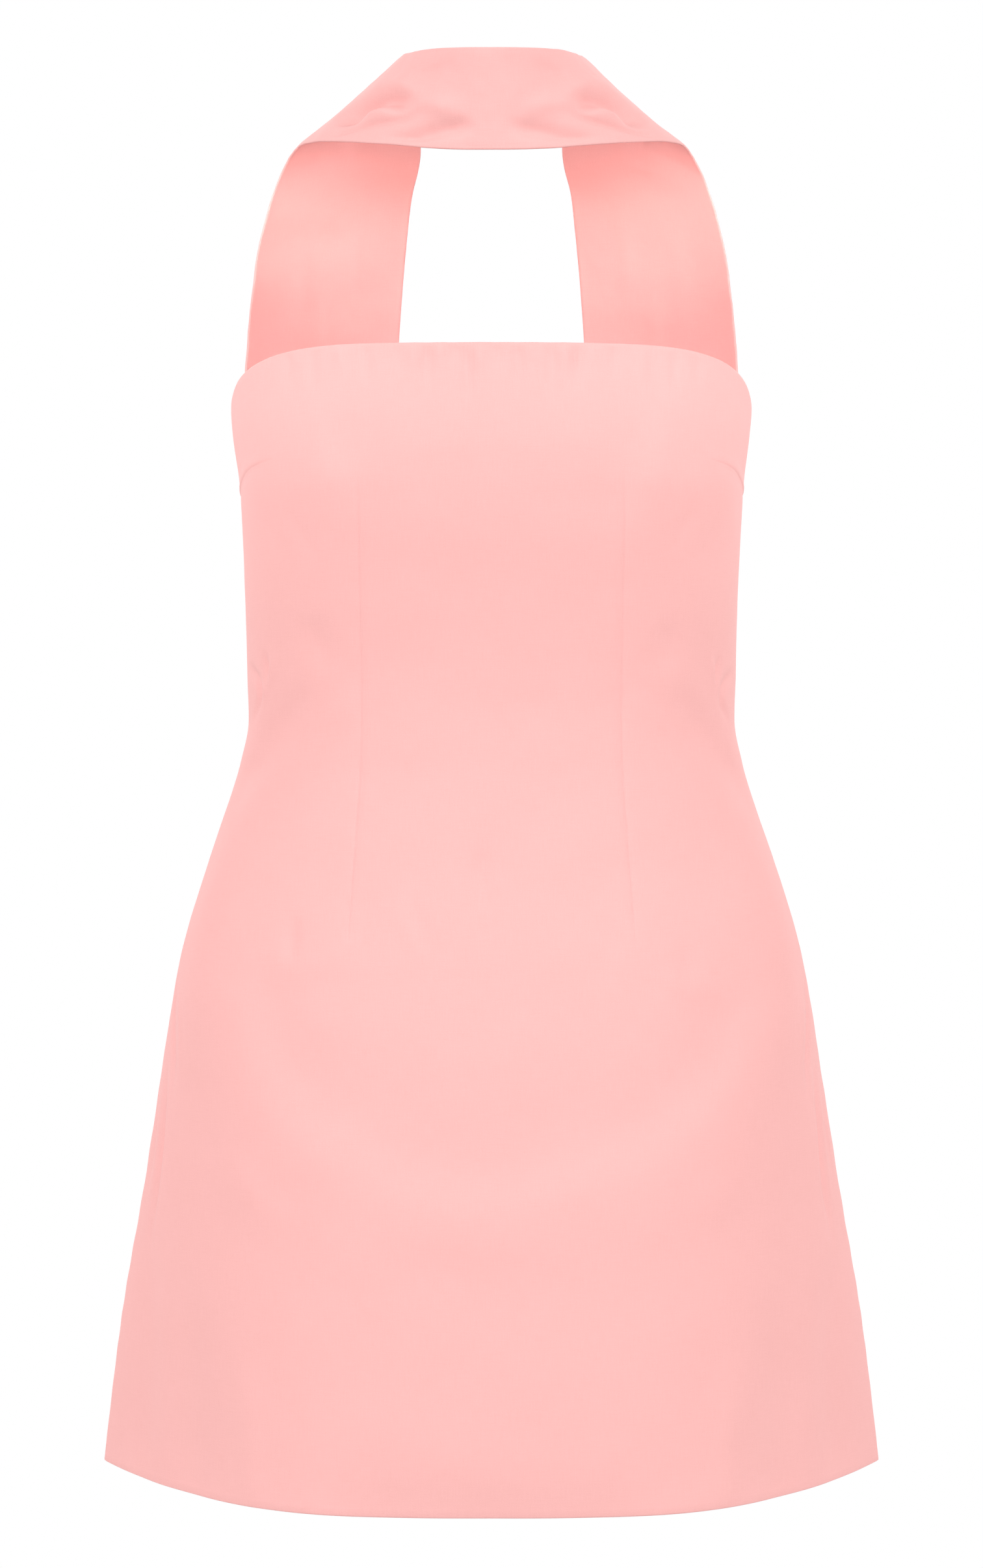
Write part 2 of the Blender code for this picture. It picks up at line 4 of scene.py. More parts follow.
import bmesh
import bpy
import numpy as np
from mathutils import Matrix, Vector


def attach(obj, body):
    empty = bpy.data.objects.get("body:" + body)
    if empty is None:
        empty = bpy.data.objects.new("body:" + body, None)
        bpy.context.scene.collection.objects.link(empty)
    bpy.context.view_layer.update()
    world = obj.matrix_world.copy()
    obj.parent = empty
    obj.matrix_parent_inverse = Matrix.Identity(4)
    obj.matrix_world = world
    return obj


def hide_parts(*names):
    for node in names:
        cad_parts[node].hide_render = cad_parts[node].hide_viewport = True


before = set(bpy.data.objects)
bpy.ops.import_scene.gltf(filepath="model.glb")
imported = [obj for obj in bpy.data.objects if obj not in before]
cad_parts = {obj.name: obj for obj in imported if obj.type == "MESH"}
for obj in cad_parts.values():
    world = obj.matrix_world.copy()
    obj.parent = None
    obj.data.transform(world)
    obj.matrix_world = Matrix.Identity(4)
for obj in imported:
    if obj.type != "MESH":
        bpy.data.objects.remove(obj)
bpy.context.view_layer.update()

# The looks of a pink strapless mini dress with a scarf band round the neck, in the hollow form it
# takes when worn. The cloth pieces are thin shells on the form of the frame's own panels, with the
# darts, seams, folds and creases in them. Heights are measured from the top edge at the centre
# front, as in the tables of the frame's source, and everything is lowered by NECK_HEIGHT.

MM = 0.001  # every size and table below is in millimetres

# ================================================================ sizes
NECK_HEIGHT = 160.0
SEAM_GAP = 0.02  # between two panels at a sewn seam
CLOTH = 1.0  # one layer of the dress cloth
TURNED = 0.8  # what an allowance, turned in and pressed, adds on the inside
DART_INTAKE = 11.0  # the widest part of a long dart's fold, on the inside
DART_FOLD_EDGE = 0.3  # how far that fold reaches past its seam
DART_FOLD_STEP = 0.6  # the distance over which it ends there
DART_FOLD_FADE = 2.0  # a narrower fold than this is pressed flat
DART_FOLD_CURVE = 1.2  # 1 would be a plain half wave from end to end
SCARF = 1.6  # the band is the same cloth doubled

HEM_CENTRE = -686.5
HEM_SIDE_LIFT = 11.5
HEM_STITCHED = 34.0  # above the hem, on the inside
EDGE_SHARE = 0.2  # of the length, over which the rows take up the curve of the top edge or hem
TOP_SIDE_DIP = 38.0
TOP_DIP_START = 20.0  # bearing from which the top edge falls to the side
BACK_TOP = -34.0
BACK_TOP_RISE = 60.0  # bearings past the side seam over which the back's top edge rises
ZIP_END = -400.0
ZIP_SLIT = 0.5  # between the folded edges where the zip is closed
SLIDER_SLIT = 1.4  # beside the slider
SLIDER_HEIGHT = -46.0
SLIDER_SPREAD = 9.0  # how far above and below the slider it spreads the slit
ZIP_END_FADE = 20.0
SLIT_REACH = 0.05  # a column this close to the slit lies on it
SEAM_HOLD = 9.0  # a side seam keeps its own line, and creases grow over this distance from it
ZIP_HOLD = 14.0  # and over this one beyond the turned edge at the zip

# A level section's front half is |x / half_width|^flat + |y / depth|^corner = 1.
Section = namedtuple(
    "Section", "height half_width front back front_flat front_corner back_flat back_corner"
)
SECTIONS = [
    Section(45.0, 162.4, 104.0, 98.5, 2.7, 2.1, 2.8, 2.8),
    Section(0.0, 161.0, 110.0, 98.5, 2.7, 2.1, 2.8, 2.8),
    Section(-26.0, 160.2, 115.5, 98.0, 2.7, 2.1, 2.8, 2.8),
    Section(-46.0, 158.7, 118.5, 97.0, 2.6, 2.2, 2.7, 2.7),
    Section(-77.0, 154.6, 120.5, 94.5, 2.5, 2.2, 2.6, 2.6),
    Section(-96.0, 153.4, 119.0, 92.0, 2.4, 2.2, 2.5, 2.5),
    Section(-146.0, 151.3, 110.5, 85.5, 2.4, 2.2, 2.4, 2.4),
    Section(-196.0, 149.8, 103.0, 79.0, 2.4, 2.2, 2.3, 2.3),
    Section(-219.0, 149.2, 101.5, 77.5, 2.4, 2.2, 2.3, 2.3),
    Section(-246.0, 154.0, 102.0, 80.0, 2.4, 2.1, 2.3, 2.3),
    Section(-306.0, 173.4, 108.5, 99.0, 2.4, 2.0, 2.3, 2.2),
    Section(-366.0, 191.0, 120.0, 118.0, 2.5, 1.9, 2.4, 2.1),
    Section(-426.0, 201.3, 129.0, 126.5, 2.6, 1.7, 2.5, 1.8),
    Section(-506.0, 214.0, 135.5, 130.5, 2.7, 1.45, 2.7, 1.55),
    Section(-586.0, 228.0, 139.0, 133.5, 2.9, 1.2, 2.8, 1.3),
    Section(-675.0, 239.2, 141.0, 136.0, 3.0, 1.0, 3.0, 1.05),
    Section(-700.0, 241.8, 141.5, 137.0, 3.0, 1.0, 3.0, 1.05),
]

# How far an edge is turned in, and the distance over which its cut end is pressed flat.
Turning = namedtuple("Turning", "width step")
TOP_TURNING = Turning(13.0, 1.5)
HEM_TURNING = Turning(36.0, 2.0)
SIDE_TURNING = Turning(11.0, 1.2)
ZIP_TURNING = Turning(12.0, 1.0)

# Where a long dart lies, as its distance x from the middle, and where it starts and ends.
DartPoint = namedtuple("DartPoint", "height x")
Dart = namedtuple("Dart", "top end line")
FRONT_DART = Dart(-71.0, -364.0, [
    DartPoint(0.0, 79.0),
    DartPoint(-71.0, 78.6),
    DartPoint(-216.0, 77.2),
    DartPoint(-364.0, 85.7),
    DartPoint(-700.0, 103.0),
])
BACK_DART = Dart(-95.0, -345.0, [
    DartPoint(0.0, 74.0),
    DartPoint(-216.0, 72.0),
    DartPoint(-345.0, 82.0),
    DartPoint(-700.0, 104.0),
])
BUST_DART_LEVEL = -63.6  # the row of the cloth that a bust dart follows, from the side seam
BUST_DART_TIP = 50.0  # bearing of its tip
BUST_DART_FADE = 14.0  # bearings over which it fades there

# What sewing does to the cloth along a line: a rise or a hollow at a distance past the line, which
# is towards the side seam from a dart, towards the middle from a side seam, and up from a bust dart.
Relief = namedtuple("Relief", "rise past width")
DART_RELIEF = [Relief(-0.30, 0.0, 0.5), Relief(-0.30, 0.0, 3.2), Relief(0.15, -4.2, 2.4)]
SEAM_RELIEF = [Relief(-0.55, 0.0, 0.9), Relief(-0.45, 0.0, 3.6)]
BUST_DART_RELIEF = [Relief(-0.16, 0.0, 0.6), Relief(-0.30, -2.2, 3.4), Relief(0.45, 2.8, 2.8)]
FOLD_ROLL = Relief(-0.50, 0.0, 0.8)  # of the edges that are folded at the zip, from the slit
DART_ENDS = 0.10  # share of a long dart's length over which it fades out at each end

# Small puckers along such a line, in waves of an uneven length.
Ripple = namedtuple("Ripple", "rise past width wave sway sway_wave")
DART_RIPPLE = Ripple(0.10, 3.0, 2.6, 5.3, 1.7, 23.0)
SEAM_RIPPLE = Ripple(0.16, 3.2, 2.4, 4.1, 2.1, 31.0)

# The cloth's slight unevenness everywhere: the size of its waves and their rise.
Wave = namedtuple("Wave", "size rise")
PANEL_WAVES = [Wave(70.0, 0.15), Wave(24.0, 0.03)]
BAND_WAVES = [Wave(34.0, 0.22), Wave(12.0, 0.05)]
WOBBLE_WAVES = 14  # drawn for each row of waves
WOBBLE_SIZES = (0.7, 1.5)  # the least and the most of a wave's size
FRONT_SEED = 11
BACK_SEED = 21
BAND_SEED = 31

# ---------------------------------------------------------------- the scarf band
Station = namedtuple("Station", "neck_x neck_y neck_z edge_x edge_y edge_z bulge")
SCARF_STATIONS = [
    Station(0.0, -64.0, 181.5, 0.0, -77.0, 119.2, 3.0),
    Station(22.0, -59.0, 182.4, 32.0, -72.5, 120.5, 3.0),
    Station(41.5, -43.0, 184.4, 64.0, -57.0, 125.6, 2.5),
    Station(51.5, -24.0, 185.6, 90.0, -36.0, 130.5, 1.5),
    Station(54.8, -8.0, 187.2, 108.4, -12.0, 134.4, 0.2),
    Station(54.9, 7.0, 188.3, 117.8, 7.0, 135.5, -0.8),
    Station(51.3, 27.0, 180.0, 124.5, 27.0, 132.5, 1.0),
    Station(46.8, 47.0, 160.5, 129.9, 38.5, 126.0, 4.0),
    Station(45.2, 64.0, 137.5, 135.6, 46.0, 114.0, 7.5),
    Station(50.8, 80.0, 114.0, 141.9, 51.0, 96.0, 10.5),
    Station(54.8, 91.0, 82.0, 147.9, 55.0, 71.0, 12.0),
]
StrapRow = namedtuple("StrapRow", "height neck_x edge_x")
STRAP_ROWS = [
    StrapRow(40.0, 58.3, 152.2),
    StrapRow(5.0, 60.2, 155.0),
    StrapRow(-26.0, 60.6, 155.2),
    StrapRow(-48.0, 60.6, 155.2),
]
STRAP_TUCK_START = 0.0
STRAP_TUCK_END = -27.0
STRAP_INSET = 2.1  # how far inside the back's outer face the sewn ends lie

# ---------------------------------------------------------------- creases
# A crease is a soft ridge (rise above 0) or trough (below 0) along a smooth path. left and right
# are its half-widths on either side of the path, seen along it, and start and end are the shares of
# its length over which it fades in and out.
Crease = namedtuple("Crease", "rise left right path start end", defaults=(0.4, 0.5))

# Paths on the body are points (bearing, height), where the bearing is in degrees from the centre
# front, positive on +X.
WAIST_CREASES = [
    # left side: two pinches where the waist is drawn in, with a ridge between them
    Crease(-2.6, 3.4, 2.4, [(-82, -187), (-72, -196), (-70, -208), (-78, -224)]),
    Crease(-1.9, 2.4, 3.2, [(-66, -177), (-64.5, -192), (-66, -206)]),
    Crease(1.1, 3.0, 3.0, [(-59, -174), (-62, -190), (-68, -207), (-74, -216)]),
    Crease(-3.4, 17.0, 12.0, [
        (-40, -196), (-50, -212), (-61, -234), (-72, -254), (-84, -264),
    ], 0.4, 0.2),
    Crease(-1.6, 10.0, 9.0, [(-45, -155), (-44, -176), (-39, -196)]),
    Crease(0.8, 9.0, 7.0, [(-33, -198), (-36, -213), (-44, -232)]),
    # right side
    Crease(-2.4, 2.4, 3.4, [(81, -190), (71, -199), (69, -210), (77, -225)]),
    Crease(-2.0, 3.2, 2.4, [(67, -180), (65, -195), (66, -208)]),
    Crease(1.0, 3.0, 3.0, [(60, -176), (63, -192), (69, -208), (75, -217)]),
    Crease(-3.2, 12.0, 17.0, [(40, -199), (51, -215), (62, -237), (72, -255), (84, -263)], 0.4, 0.2),
    Crease(-1.4, 9.0, 10.0, [(46, -160), (44, -180), (40, -199)]),
    Crease(0.7, 7.0, 9.0, [(34, -200), (38, -216), (46, -235)]),
]
BUST_CREASES = [
    Crease(-0.7, 4.0, 4.0, [(-53, -92), (-48, -108), (-43, -131)]),
    Crease(-0.5, 5.5, 5.5, [(-62, -90), (-58, -112), (-51, -142)]),
    Crease(-0.7, 4.0, 4.0, [(52, -91), (48, -106), (44, -129)]),
    Crease(-0.5, 5.0, 5.0, [(62, -92), (58, -114), (52, -140)]),
    # the apex of the bust, as one edge across the front that is lower outside the darts
    Crease(1.3, 22.0, 15.0, [(-28, -60), (-14, -58), (0, -58), (14, -58), (28, -60)], 0.15, 0.15),
    Crease(3.4, 40.0, 26.0, [(-80, -80), (-66, -78), (-52, -80), (-40, -80), (-29, -74)], 0.4, 0.25),
    Crease(3.4, 40.0, 26.0, [(29, -74), (40, -80), (52, -80), (66, -78), (80, -80)], 0.25, 0.4),
]
HIP_CREASES = [
    Crease(-1.7, 5.0, 6.0, [(-1.0, -288), (-1.8, -310), (-1.4, -342)]),
    Crease(-1.5, 4.0, 5.0, [(-39, -336), (-38.6, -370)]),
    Crease(-0.9, 5.0, 3.5, [(-16, -322), (-12.5, -346), (-9, -372)]),
    Crease(0.6, 5.0, 4.0, [(-18.5, -326), (-15, -350), (-12, -374)]),
    Crease(-1.3, 15.0, 13.0, [(-25, -306), (-24, -340), (-20, -378)]),
    Crease(-1.0, 9.0, 12.0, [(24, -330), (21, -360), (17, -392)]),
    Crease(-0.9, 7.0, 6.0, [(37, -352), (38, -384)]),
    Crease(0.9, 20.0, 18.0, [(-32, -372), (-31, -396), (-29, -424)]),
    Crease(0.9, 18.0, 20.0, [(31, -366), (34, -394), (31, -420)]),
    Crease(3.6, 32.0, 26.0, [(-64, -268), (-65, -330), (-64, -390), (-62, -450)], 0.35, 0.35),
    Crease(3.6, 26.0, 32.0, [(64, -268), (65, -330), (64, -390), (62, -450)], 0.35, 0.35),
]
# Where the skirt leaves the hips, it drapes in one wide swag across the front.
SWAG_CREASES = [
    Crease(2.2, 22.0, 44.0, [
        (-54, -362), (-52, -394), (-48, -424), (-43, -452), (-35, -472), (-25.5, -490),
        (-15.5, -505), (-3.5, -514), (8, -508), (20, -495), (31, -479), (41.5, -457),
        (49, -429), (54, -400), (57, -378),
    ], 0.07, 0.07),
    Crease(-2.2, 46.0, 20.0, [
        (-43, -362), (-41, -390), (-37, -412), (-32, -432), (-27, -445), (-20, -460),
        (-12.5, -474), (-3, -484), (7, -477), (17.5, -465), (25, -452), (34, -435),
        (40, -416), (44.5, -396), (47, -378),
    ], 0.07, 0.07),
    Crease(1.2, 12.0, 16.0, [(-49, -470), (-44, -492), (-38, -512), (-31, -528)]),
    Crease(1.2, 16.0, 12.0, [(31, -527), (37, -510), (43, -490), (48, -466)]),
    Crease(-1.3, 18.0, 22.0, [(-22, -534), (0, -549), (22, -540)], 0.5, 0.5),
    Crease(-5.4, 28.0, 26.0, [(-30, -692), (-12, -694), (12, -694), (30, -692)], 0.3, 0.3),
]
SIDE_CREASES = [
    Crease(-3.4, 2.4, 3.2, [(-86, -366), (-80, -392), (-73, -424), (-69.5, -456)]),
    Crease(0.9, 3.0, 3.0, [(-77, -376), (-71, -404), (-66, -446)]),
    Crease(-3.8, 3.2, 3.8, [(-78, -420), (-74.5, -470), (-72.5, -505), (-71, -552)]),
    Crease(-1.6, 2.4, 2.8, [(-84, -446), (-80, -480), (-78, -520)]),
    Crease(-3.0, 15.0, 18.0, [(-77, -505), (-70, -550), (-65, -600), (-62, -690)], 0.5, 0.2),
    Crease(-2.8, 18.0, 22.0, [(-58, -535), (-52, -590), (-47, -695)], 0.5, 0.15),
    Crease(1.3, 10.0, 11.0, [(-42, -575), (-38, -625), (-36, -690)], 0.5, 0.15),
    Crease(-3.4, 3.2, 2.4, [(84, -368), (78, -394), (71, -425), (68, -456)]),
    Crease(0.9, 3.0, 3.0, [(75, -380), (70, -408), (65, -444)]),
    Crease(-3.6, 3.8, 3.2, [(77, -418), (73.5, -468), (71.5, -508), (70.5, -550)]),
    Crease(-1.6, 2.6, 2.4, [(82, -438), (78.5, -476), (77, -512)]),
    Crease(-2.8, 18.0, 15.0, [(74, -512), (68, -556), (63, -604), (60, -690)], 0.5, 0.2),
    Crease(-2.8, 22.0, 18.0, [(55, -532), (50, -588), (45, -695)], 0.5, 0.15),
    Crease(1.2, 11.0, 10.0, [(40, -580), (37, -628), (35, -690)], 0.5, 0.15),
]
# Small vertical puckers below the top edge: distance from the middle, length and rise.
Pucker = namedtuple("Pucker", "x length rise")
PUCKER_SIDES = (2.8, 3.1)  # half-widths of a pucker to the left and right of its line
PUCKER_ENDS = (0.25, 0.6)  # shares of its length over which it fades in and out
PUCKER_START = 1.0  # above the top edge
PUCKER_SWAY = 0.6  # sideways at its middle
TOP_PUCKERS = [
    Pucker(-121, 24, -1.2), Pucker(-106, 34, -1.2), Pucker(-90, 22, 1.1), Pucker(-74, 28, -1.2),
    Pucker(-56, 24, -1.0), Pucker(-46, 20, 1.4), Pucker(-38, 34, -2.0), Pucker(-30, 18, 1.0),
    Pucker(-23, 18, -1.2), Pucker(-14.5, 46, -2.2), Pucker(-7, 22, 1.3), Pucker(3, 20, -1.2),
    Pucker(15, 33, -1.9), Pucker(24, 16, 1.1), Pucker(35, 36, -1.8), Pucker(43, 20, 1.4),
    Pucker(50, 34, -1.9), Pucker(60, 18, 1.0), Pucker(72, 26, -1.2), Pucker(89, 30, 1.1),
    Pucker(108, 32, -1.2), Pucker(122, 24, -1.2),
]
# The back, whose bearings run from 90 at the side seam to 180 at the zip, on either side.
BACK_CREASES = [
    Crease(-2.4, 3.2, 4.4, [(99, -224), (106, -208), (113, -190)]),
    Crease(-1.7, 3.0, 5.0, [(104, -233), (122, -213), (142, -210)]),
    Crease(1.0, 4.0, 4.0, [(101, -214), (110, -198), (122, -190)]),
    Crease(-1.2, 7.0, 7.0, [(150, -196), (158, -208), (166, -206)]),
    Crease(-0.9, 6.0, 8.0, [(160, -226), (166, -240), (172, -246)]),
    Crease(-2.4, 3.0, 3.0, [(93, -380), (100, -420), (108, -464)]),
    Crease(-2.6, 3.6, 4.2, [(101, -424), (105, -480), (109, -552)]),
    Crease(-2.2, 9.0, 9.0, [(115, -540), (118, -590), (120, -655)], 0.4, 0.3),
    Crease(-2.5, 13.0, 12.0, [(133, -494), (136, -570), (139, -668)], 0.4, 0.3),
    Crease(1.2, 14.0, 14.0, [(148, -520), (150, -590), (152, -650)]),
    Crease(2.6, 44.0, 22.0, [(128, -402), (142, -428), (158, -442), (176, -446)], 0.3, 0.4),
    Crease(-1.2, 6.0, 7.0, [(163, -455), (161, -500), (160, -540)]),
    Crease(-0.8, 5.0, 5.0, [(112, -92), (124, -112), (132, -140)]),
    Crease(-0.7, 5.0, 5.0, [(150, -60), (156, -84), (158, -110)]),
]
BACK_PUCKERS = [Pucker(14, 20, -0.35), Pucker(27, 15, 0.24), Pucker(41, 24, -0.28),
                Pucker(66, 18, -0.35), Pucker(84, 26, -0.28), Pucker(103, 17, 0.21),
                Pucker(118, 22, -0.35), Pucker(136, 19, -0.28)]

# Paths on the front of the band are points (x, height) seen from the front.
BAND_FRONT_CREASES = [
    # left end: a dark fold from the shoulder curls over a small puff, with a fine crease under it
    Crease(-4.9, 4.6, 5.0, [(-100, 142), (-85, 148), (-67, 152.5), (-53, 151), (-41, 147)], 0.3, 0.3),
    Crease(-2.6, 3.4, 3.6, [(-93, 140), (-83, 145.5), (-73, 150), (-62, 152)], 0.35, 0.35),
    Crease(2.4, 6.0, 4.5, [(-94, 154), (-79, 160), (-62, 164), (-47, 159), (-36, 152)], 0.35, 0.4),
    Crease(4.0, 4.5, 4.5, [(-82, 142.5), (-67, 146), (-52, 145.5)]),
    Crease(-2.2, 1.8, 1.6, [(-107, 132), (-91, 135.5), (-72, 138), (-54, 140), (-41, 144)], 0.2, 0.25),
    Crease(-1.0, 1.3, 1.5, [(-96, 141), (-88, 144), (-79, 147.5)]),
    Crease(-4.3, 5.5, 4.5, [(-76, 122.5), (-55, 125.5), (-36, 129.5), (-21, 132), (-7, 134)], 0.3, 0.25),
    Crease(2.6, 7.0, 6.0, [(-58, 153), (-44, 149), (-30, 146), (-15, 145.5)], 0.4, 0.4),
    Crease(-1.8, 4.5, 5.5, [(-53, 163), (-38, 167), (-18, 172)]),
    # right end, a little different
    Crease(-4.7, 5.0, 4.6, [(101, 141.5), (86, 147.5), (70, 152.5), (55, 151), (43, 146.5)], 0.3, 0.3),
    Crease(-2.5, 3.6, 3.4, [(94, 139.5), (84, 145), (74, 149.5), (63, 152)], 0.35, 0.35),
    Crease(2.4, 4.5, 6.0, [(95, 153.5), (80, 160), (63, 164), (48, 159), (37, 151)], 0.35, 0.4),
    Crease(3.8, 4.5, 4.5, [(83, 142), (68, 146), (53, 145)]),
    Crease(-2.2, 1.6, 1.8, [(108, 131.5), (92, 135), (73, 137.5), (55, 140.5), (42, 144)], 0.2, 0.25),
    Crease(-1.1, 1.5, 1.3, [(92, 138.5), (83, 142.5), (76, 147)]),
    Crease(-4.1, 4.5, 5.5, [(78, 122), (57, 125), (38, 129), (21, 131.5), (8, 134)], 0.3, 0.25),
    Crease(2.6, 6.0, 7.0, [(59, 154), (44, 149.5), (30, 146.5), (16, 146)], 0.4, 0.4),
    Crease(-1.8, 5.5, 4.5, [(51, 162.5), (38, 167.5), (20, 174)]),
]
# Paths on the band over the shoulder and down the back are points (distance from the centre front
# along the band, distance across it from the neck edge).
BAND_STRAP_CREASES = [
    Crease(-1.0, 4.0, 5.0, [(122, 30), (150, 26), (185, 28)]),
    Crease(-0.9, 5.0, 4.0, [(128, 52), (160, 50), (205, 58)]),
    Crease(1.1, 7.0, 7.0, [(130, 42), (165, 38), (210, 43)]),
    Crease(-0.9, 6.0, 5.0, [(205, 24), (245, 30), (290, 26)]),
    Crease(-1.0, 7.0, 6.0, [(215, 70), (255, 64), (310, 70)]),
    Crease(-0.9, 5.0, 6.0, [(262, 50), (298, 46), (335, 52)]),
    Crease(-1.0, 4.0, 5.0, [(300, 40), (340, 44), (385, 38)]),
    Crease(0.9, 7.0, 8.0, [(290, 56), (335, 58), (380, 54)]),
    Crease(-0.9, 4.0, 4.0, [(330, 78), (360, 75), (392, 79)]),
    Crease(-0.8, 3.5, 3.5, [(350, 16), (372, 20), (396, 18)]),
]

# ---------------------------------------------------------------- how closely the cloth is modelled
RowStep = namedtuple("RowStep", "level step")
ROW_STEPS = [
    RowStep(0.0, 1.8), RowStep(-14.0, 2.4), RowStep(-50.0, 3.2), RowStep(-155.0, 3.0),
    RowStep(-180.0, 2.5), RowStep(-232.0, 2.6), RowStep(-262.0, 3.8), RowStep(-380.0, 4.0),
    RowStep(-686.5, 4.2),
]
BUST_DART_ROWS = np.array([3.0, 1.9, 1.1, 0.6, 0.25, 0.0, -0.25, -0.6, -1.1, -1.9, -3.0])
EXTRA_GAP = 1.2  # the least from these rows to their neighbours
DART_COLUMNS = np.array([-5.0, -2.8, -1.5, -0.8, -0.35, 0.0, 0.35, 0.8, 1.5, 2.8, 5.0])
SEAM_COLUMNS = np.array([5.0, 3.2, 1.9, 1.0, 0.5, 0.0])
FOLD_COLUMNS = np.array([0.0, 0.35, 0.8, 1.4, 2.4, 4.0])  # beside the zip
FRONT_CENTRE_COLUMNS = 28
FRONT_SIDE_COLUMNS = 58
BACK_CENTRE_COLUMNS = 24
BACK_SIDE_COLUMNS = 52
TURN_STEPS = 240
SCARF_STEP = 2.1
SCARF_COLUMNS = 52
SCARF_CLOSER = 0.35  # how much closer its columns lie at the edges, from 0 to 1
SCARF_RIM = 0.006  # share of the band's width that each round folded edge takes
SCARF_LEAN = 6.0  # how far the top of its front stands forward of a straight line
SCARF_MIDDLE_LEAN = 11.5  # and how much more at the middle
SCARF_MIDDLE_WIDTH = 30.0
SCARF_LEAN_CURVE = 1.3
SCARF_LEAN_DROP = 0.18  # how much the top is lowered for each millimetre forward
SCARF_FRONT_START = -4.0  # the band is its front from there forward
SCARF_FRONT_BLEND = 24.0
SCARF_FRONT_BULGE = 0.2  # share of a station's bulge that the front keeps
SCARF_EDGE_FLAT = 1.0  # the front's creases grow from this far beyond an edge
SCARF_EDGE_GROW = 7.0  # over this width
SCARF_EDGE_RELIEF = Relief(-0.35, 0.0, 2.2)
SEWN_END = -30.0  # the band is quite flat below this height
SEWN_END_BLEND = 45.0
RIM_ANGLES = np.radians([45.0, 90.0, 135.0])
SEAM_TURN = 0.03  # share of the depth within which the form's sides count as its side seam
SLOPE_STEP = 2.0  # how far above and below a point its slope is measured
CREASE_REACH = 2.6  # half-widths within which a crease is worked out
CREASE_STEPS = 8  # points of its line for each point of its path
LAID_STEPS = 16  # points of its path when it is laid on the cloth
ARC_STEPS = 60
SHARP_FROM = 60.0  # degrees between two faces from which their edge is sharp


# ================================================================ the worn form
def ease(t):
    """0 below 0, 1 above 1, and a smooth step between."""
    t = np.clip(t, 0.0, 1.0)
    return t * t * (3 - 2 * t)


def cubic(t, width, start, end, slope_start, slope_end):
    """From start at t = 0 to end at t = 1 over a width, with a slope at each of them."""
    return (
        start * (1 + 2 * t) * (1 - t) ** 2
        + slope_start * width * t * (1 - t) ** 2
        + end * t * t * (3 - 2 * t)
        + slope_end * width * t * t * (t - 1)
    )


def smooth_curve(knots, values, at):
    """Values on a smooth curve through knots (rising) and values, with no overshoot."""
    width = np.diff(knots)
    rise = np.diff(values) / width
    slope = np.concatenate(([rise[0]], np.zeros(len(rise) - 1), [rise[-1]]))
    before, after = rise[:-1], rise[1:]
    runs_on = before * after > 0
    total = np.where(runs_on, before + after, 1.0)
    slope[1:-1] = np.where(runs_on, 2 * before * after / total, 0.0)
    at = np.clip(at, knots[0], knots[-1])
    i = np.clip(np.searchsorted(knots, at, "right") - 1, 0, len(rise) - 1)
    t = (at - knots[i]) / width[i]
    return cubic(t, width[i], values[i], values[i + 1], slope[i], slope[i + 1])


def table_curve(table, name, height):
    """A column of a table that is sorted by falling height, read at any height."""
    heights = np.array([row.height for row in reversed(table)])
    values = np.array([getattr(row, name) for row in reversed(table)])
    return smooth_curve(heights, values, height)


def section_at(height):
    return Section(height, *[table_curve(SECTIONS, name, height) for name in Section._fields[1:]])


HalfSection = namedtuple("HalfSection", "half_width depth flat corner")


def half_section(height, front):
    """The front or back half of the section at a height. The front's depth is negative, as its y."""
    size = section_at(height)
    if front:
        return HalfSection(size.half_width, -size.front, size.front_flat, size.front_corner)
    return HalfSection(size.half_width, size.back, size.back_flat, size.back_corner)


def form_point(bearing, height, front):
    """Points of the smooth worn form, on its front or its back half."""
    size = half_section(height, front)
    across = np.sin(np.radians(bearing))
    y = size.depth * np.maximum(0.0, 1 - np.abs(across) ** size.flat) ** (1 / size.corner)
    return np.stack((size.half_width * across, y, height * np.ones_like(y)), axis=-1)


def unit(vectors):
    return vectors / np.maximum(np.linalg.norm(vectors, axis=-1, keepdims=True), 1e-12)


def form_normal(bearing, height, front):
    """The outward directions there. Close to a side seam they turn into the seam's own plane."""
    size = half_section(height, front)
    point = form_point(bearing, height, front)
    x_share, y_share = np.abs(point[..., 0]) / size.half_width, point[..., 1] / size.depth
    out_x = np.sign(point[..., 0]) * size.flat / size.half_width * x_share ** (size.flat - 1)
    out_y = size.corner / size.depth * y_share ** (size.corner - 1)
    out_y = out_y * (1 - ease((SEAM_TURN - y_share) / SEAM_TURN))
    above = form_point(bearing, height + SLOPE_STEP, front)
    below = form_point(bearing, height - SLOPE_STEP, front)
    slope = (above - below) / (2 * SLOPE_STEP)
    out_z = -(out_x * slope[..., 0] + out_y * slope[..., 1])
    return unit(np.stack((out_x, out_y, out_z), axis=-1))


def top_edge(bearing, front):
    turn = np.abs(bearing)
    if front:
        return -TOP_SIDE_DIP * np.maximum(0, (turn - TOP_DIP_START) / (90 - TOP_DIP_START)) ** 3
    return -TOP_SIDE_DIP + (BACK_TOP + TOP_SIDE_DIP) * ease((turn - 90) / BACK_TOP_RISE)


def hem_edge(bearing):
    return HEM_CENTRE + HEM_SIDE_LIFT * np.abs(np.sin(np.radians(bearing))) ** 3


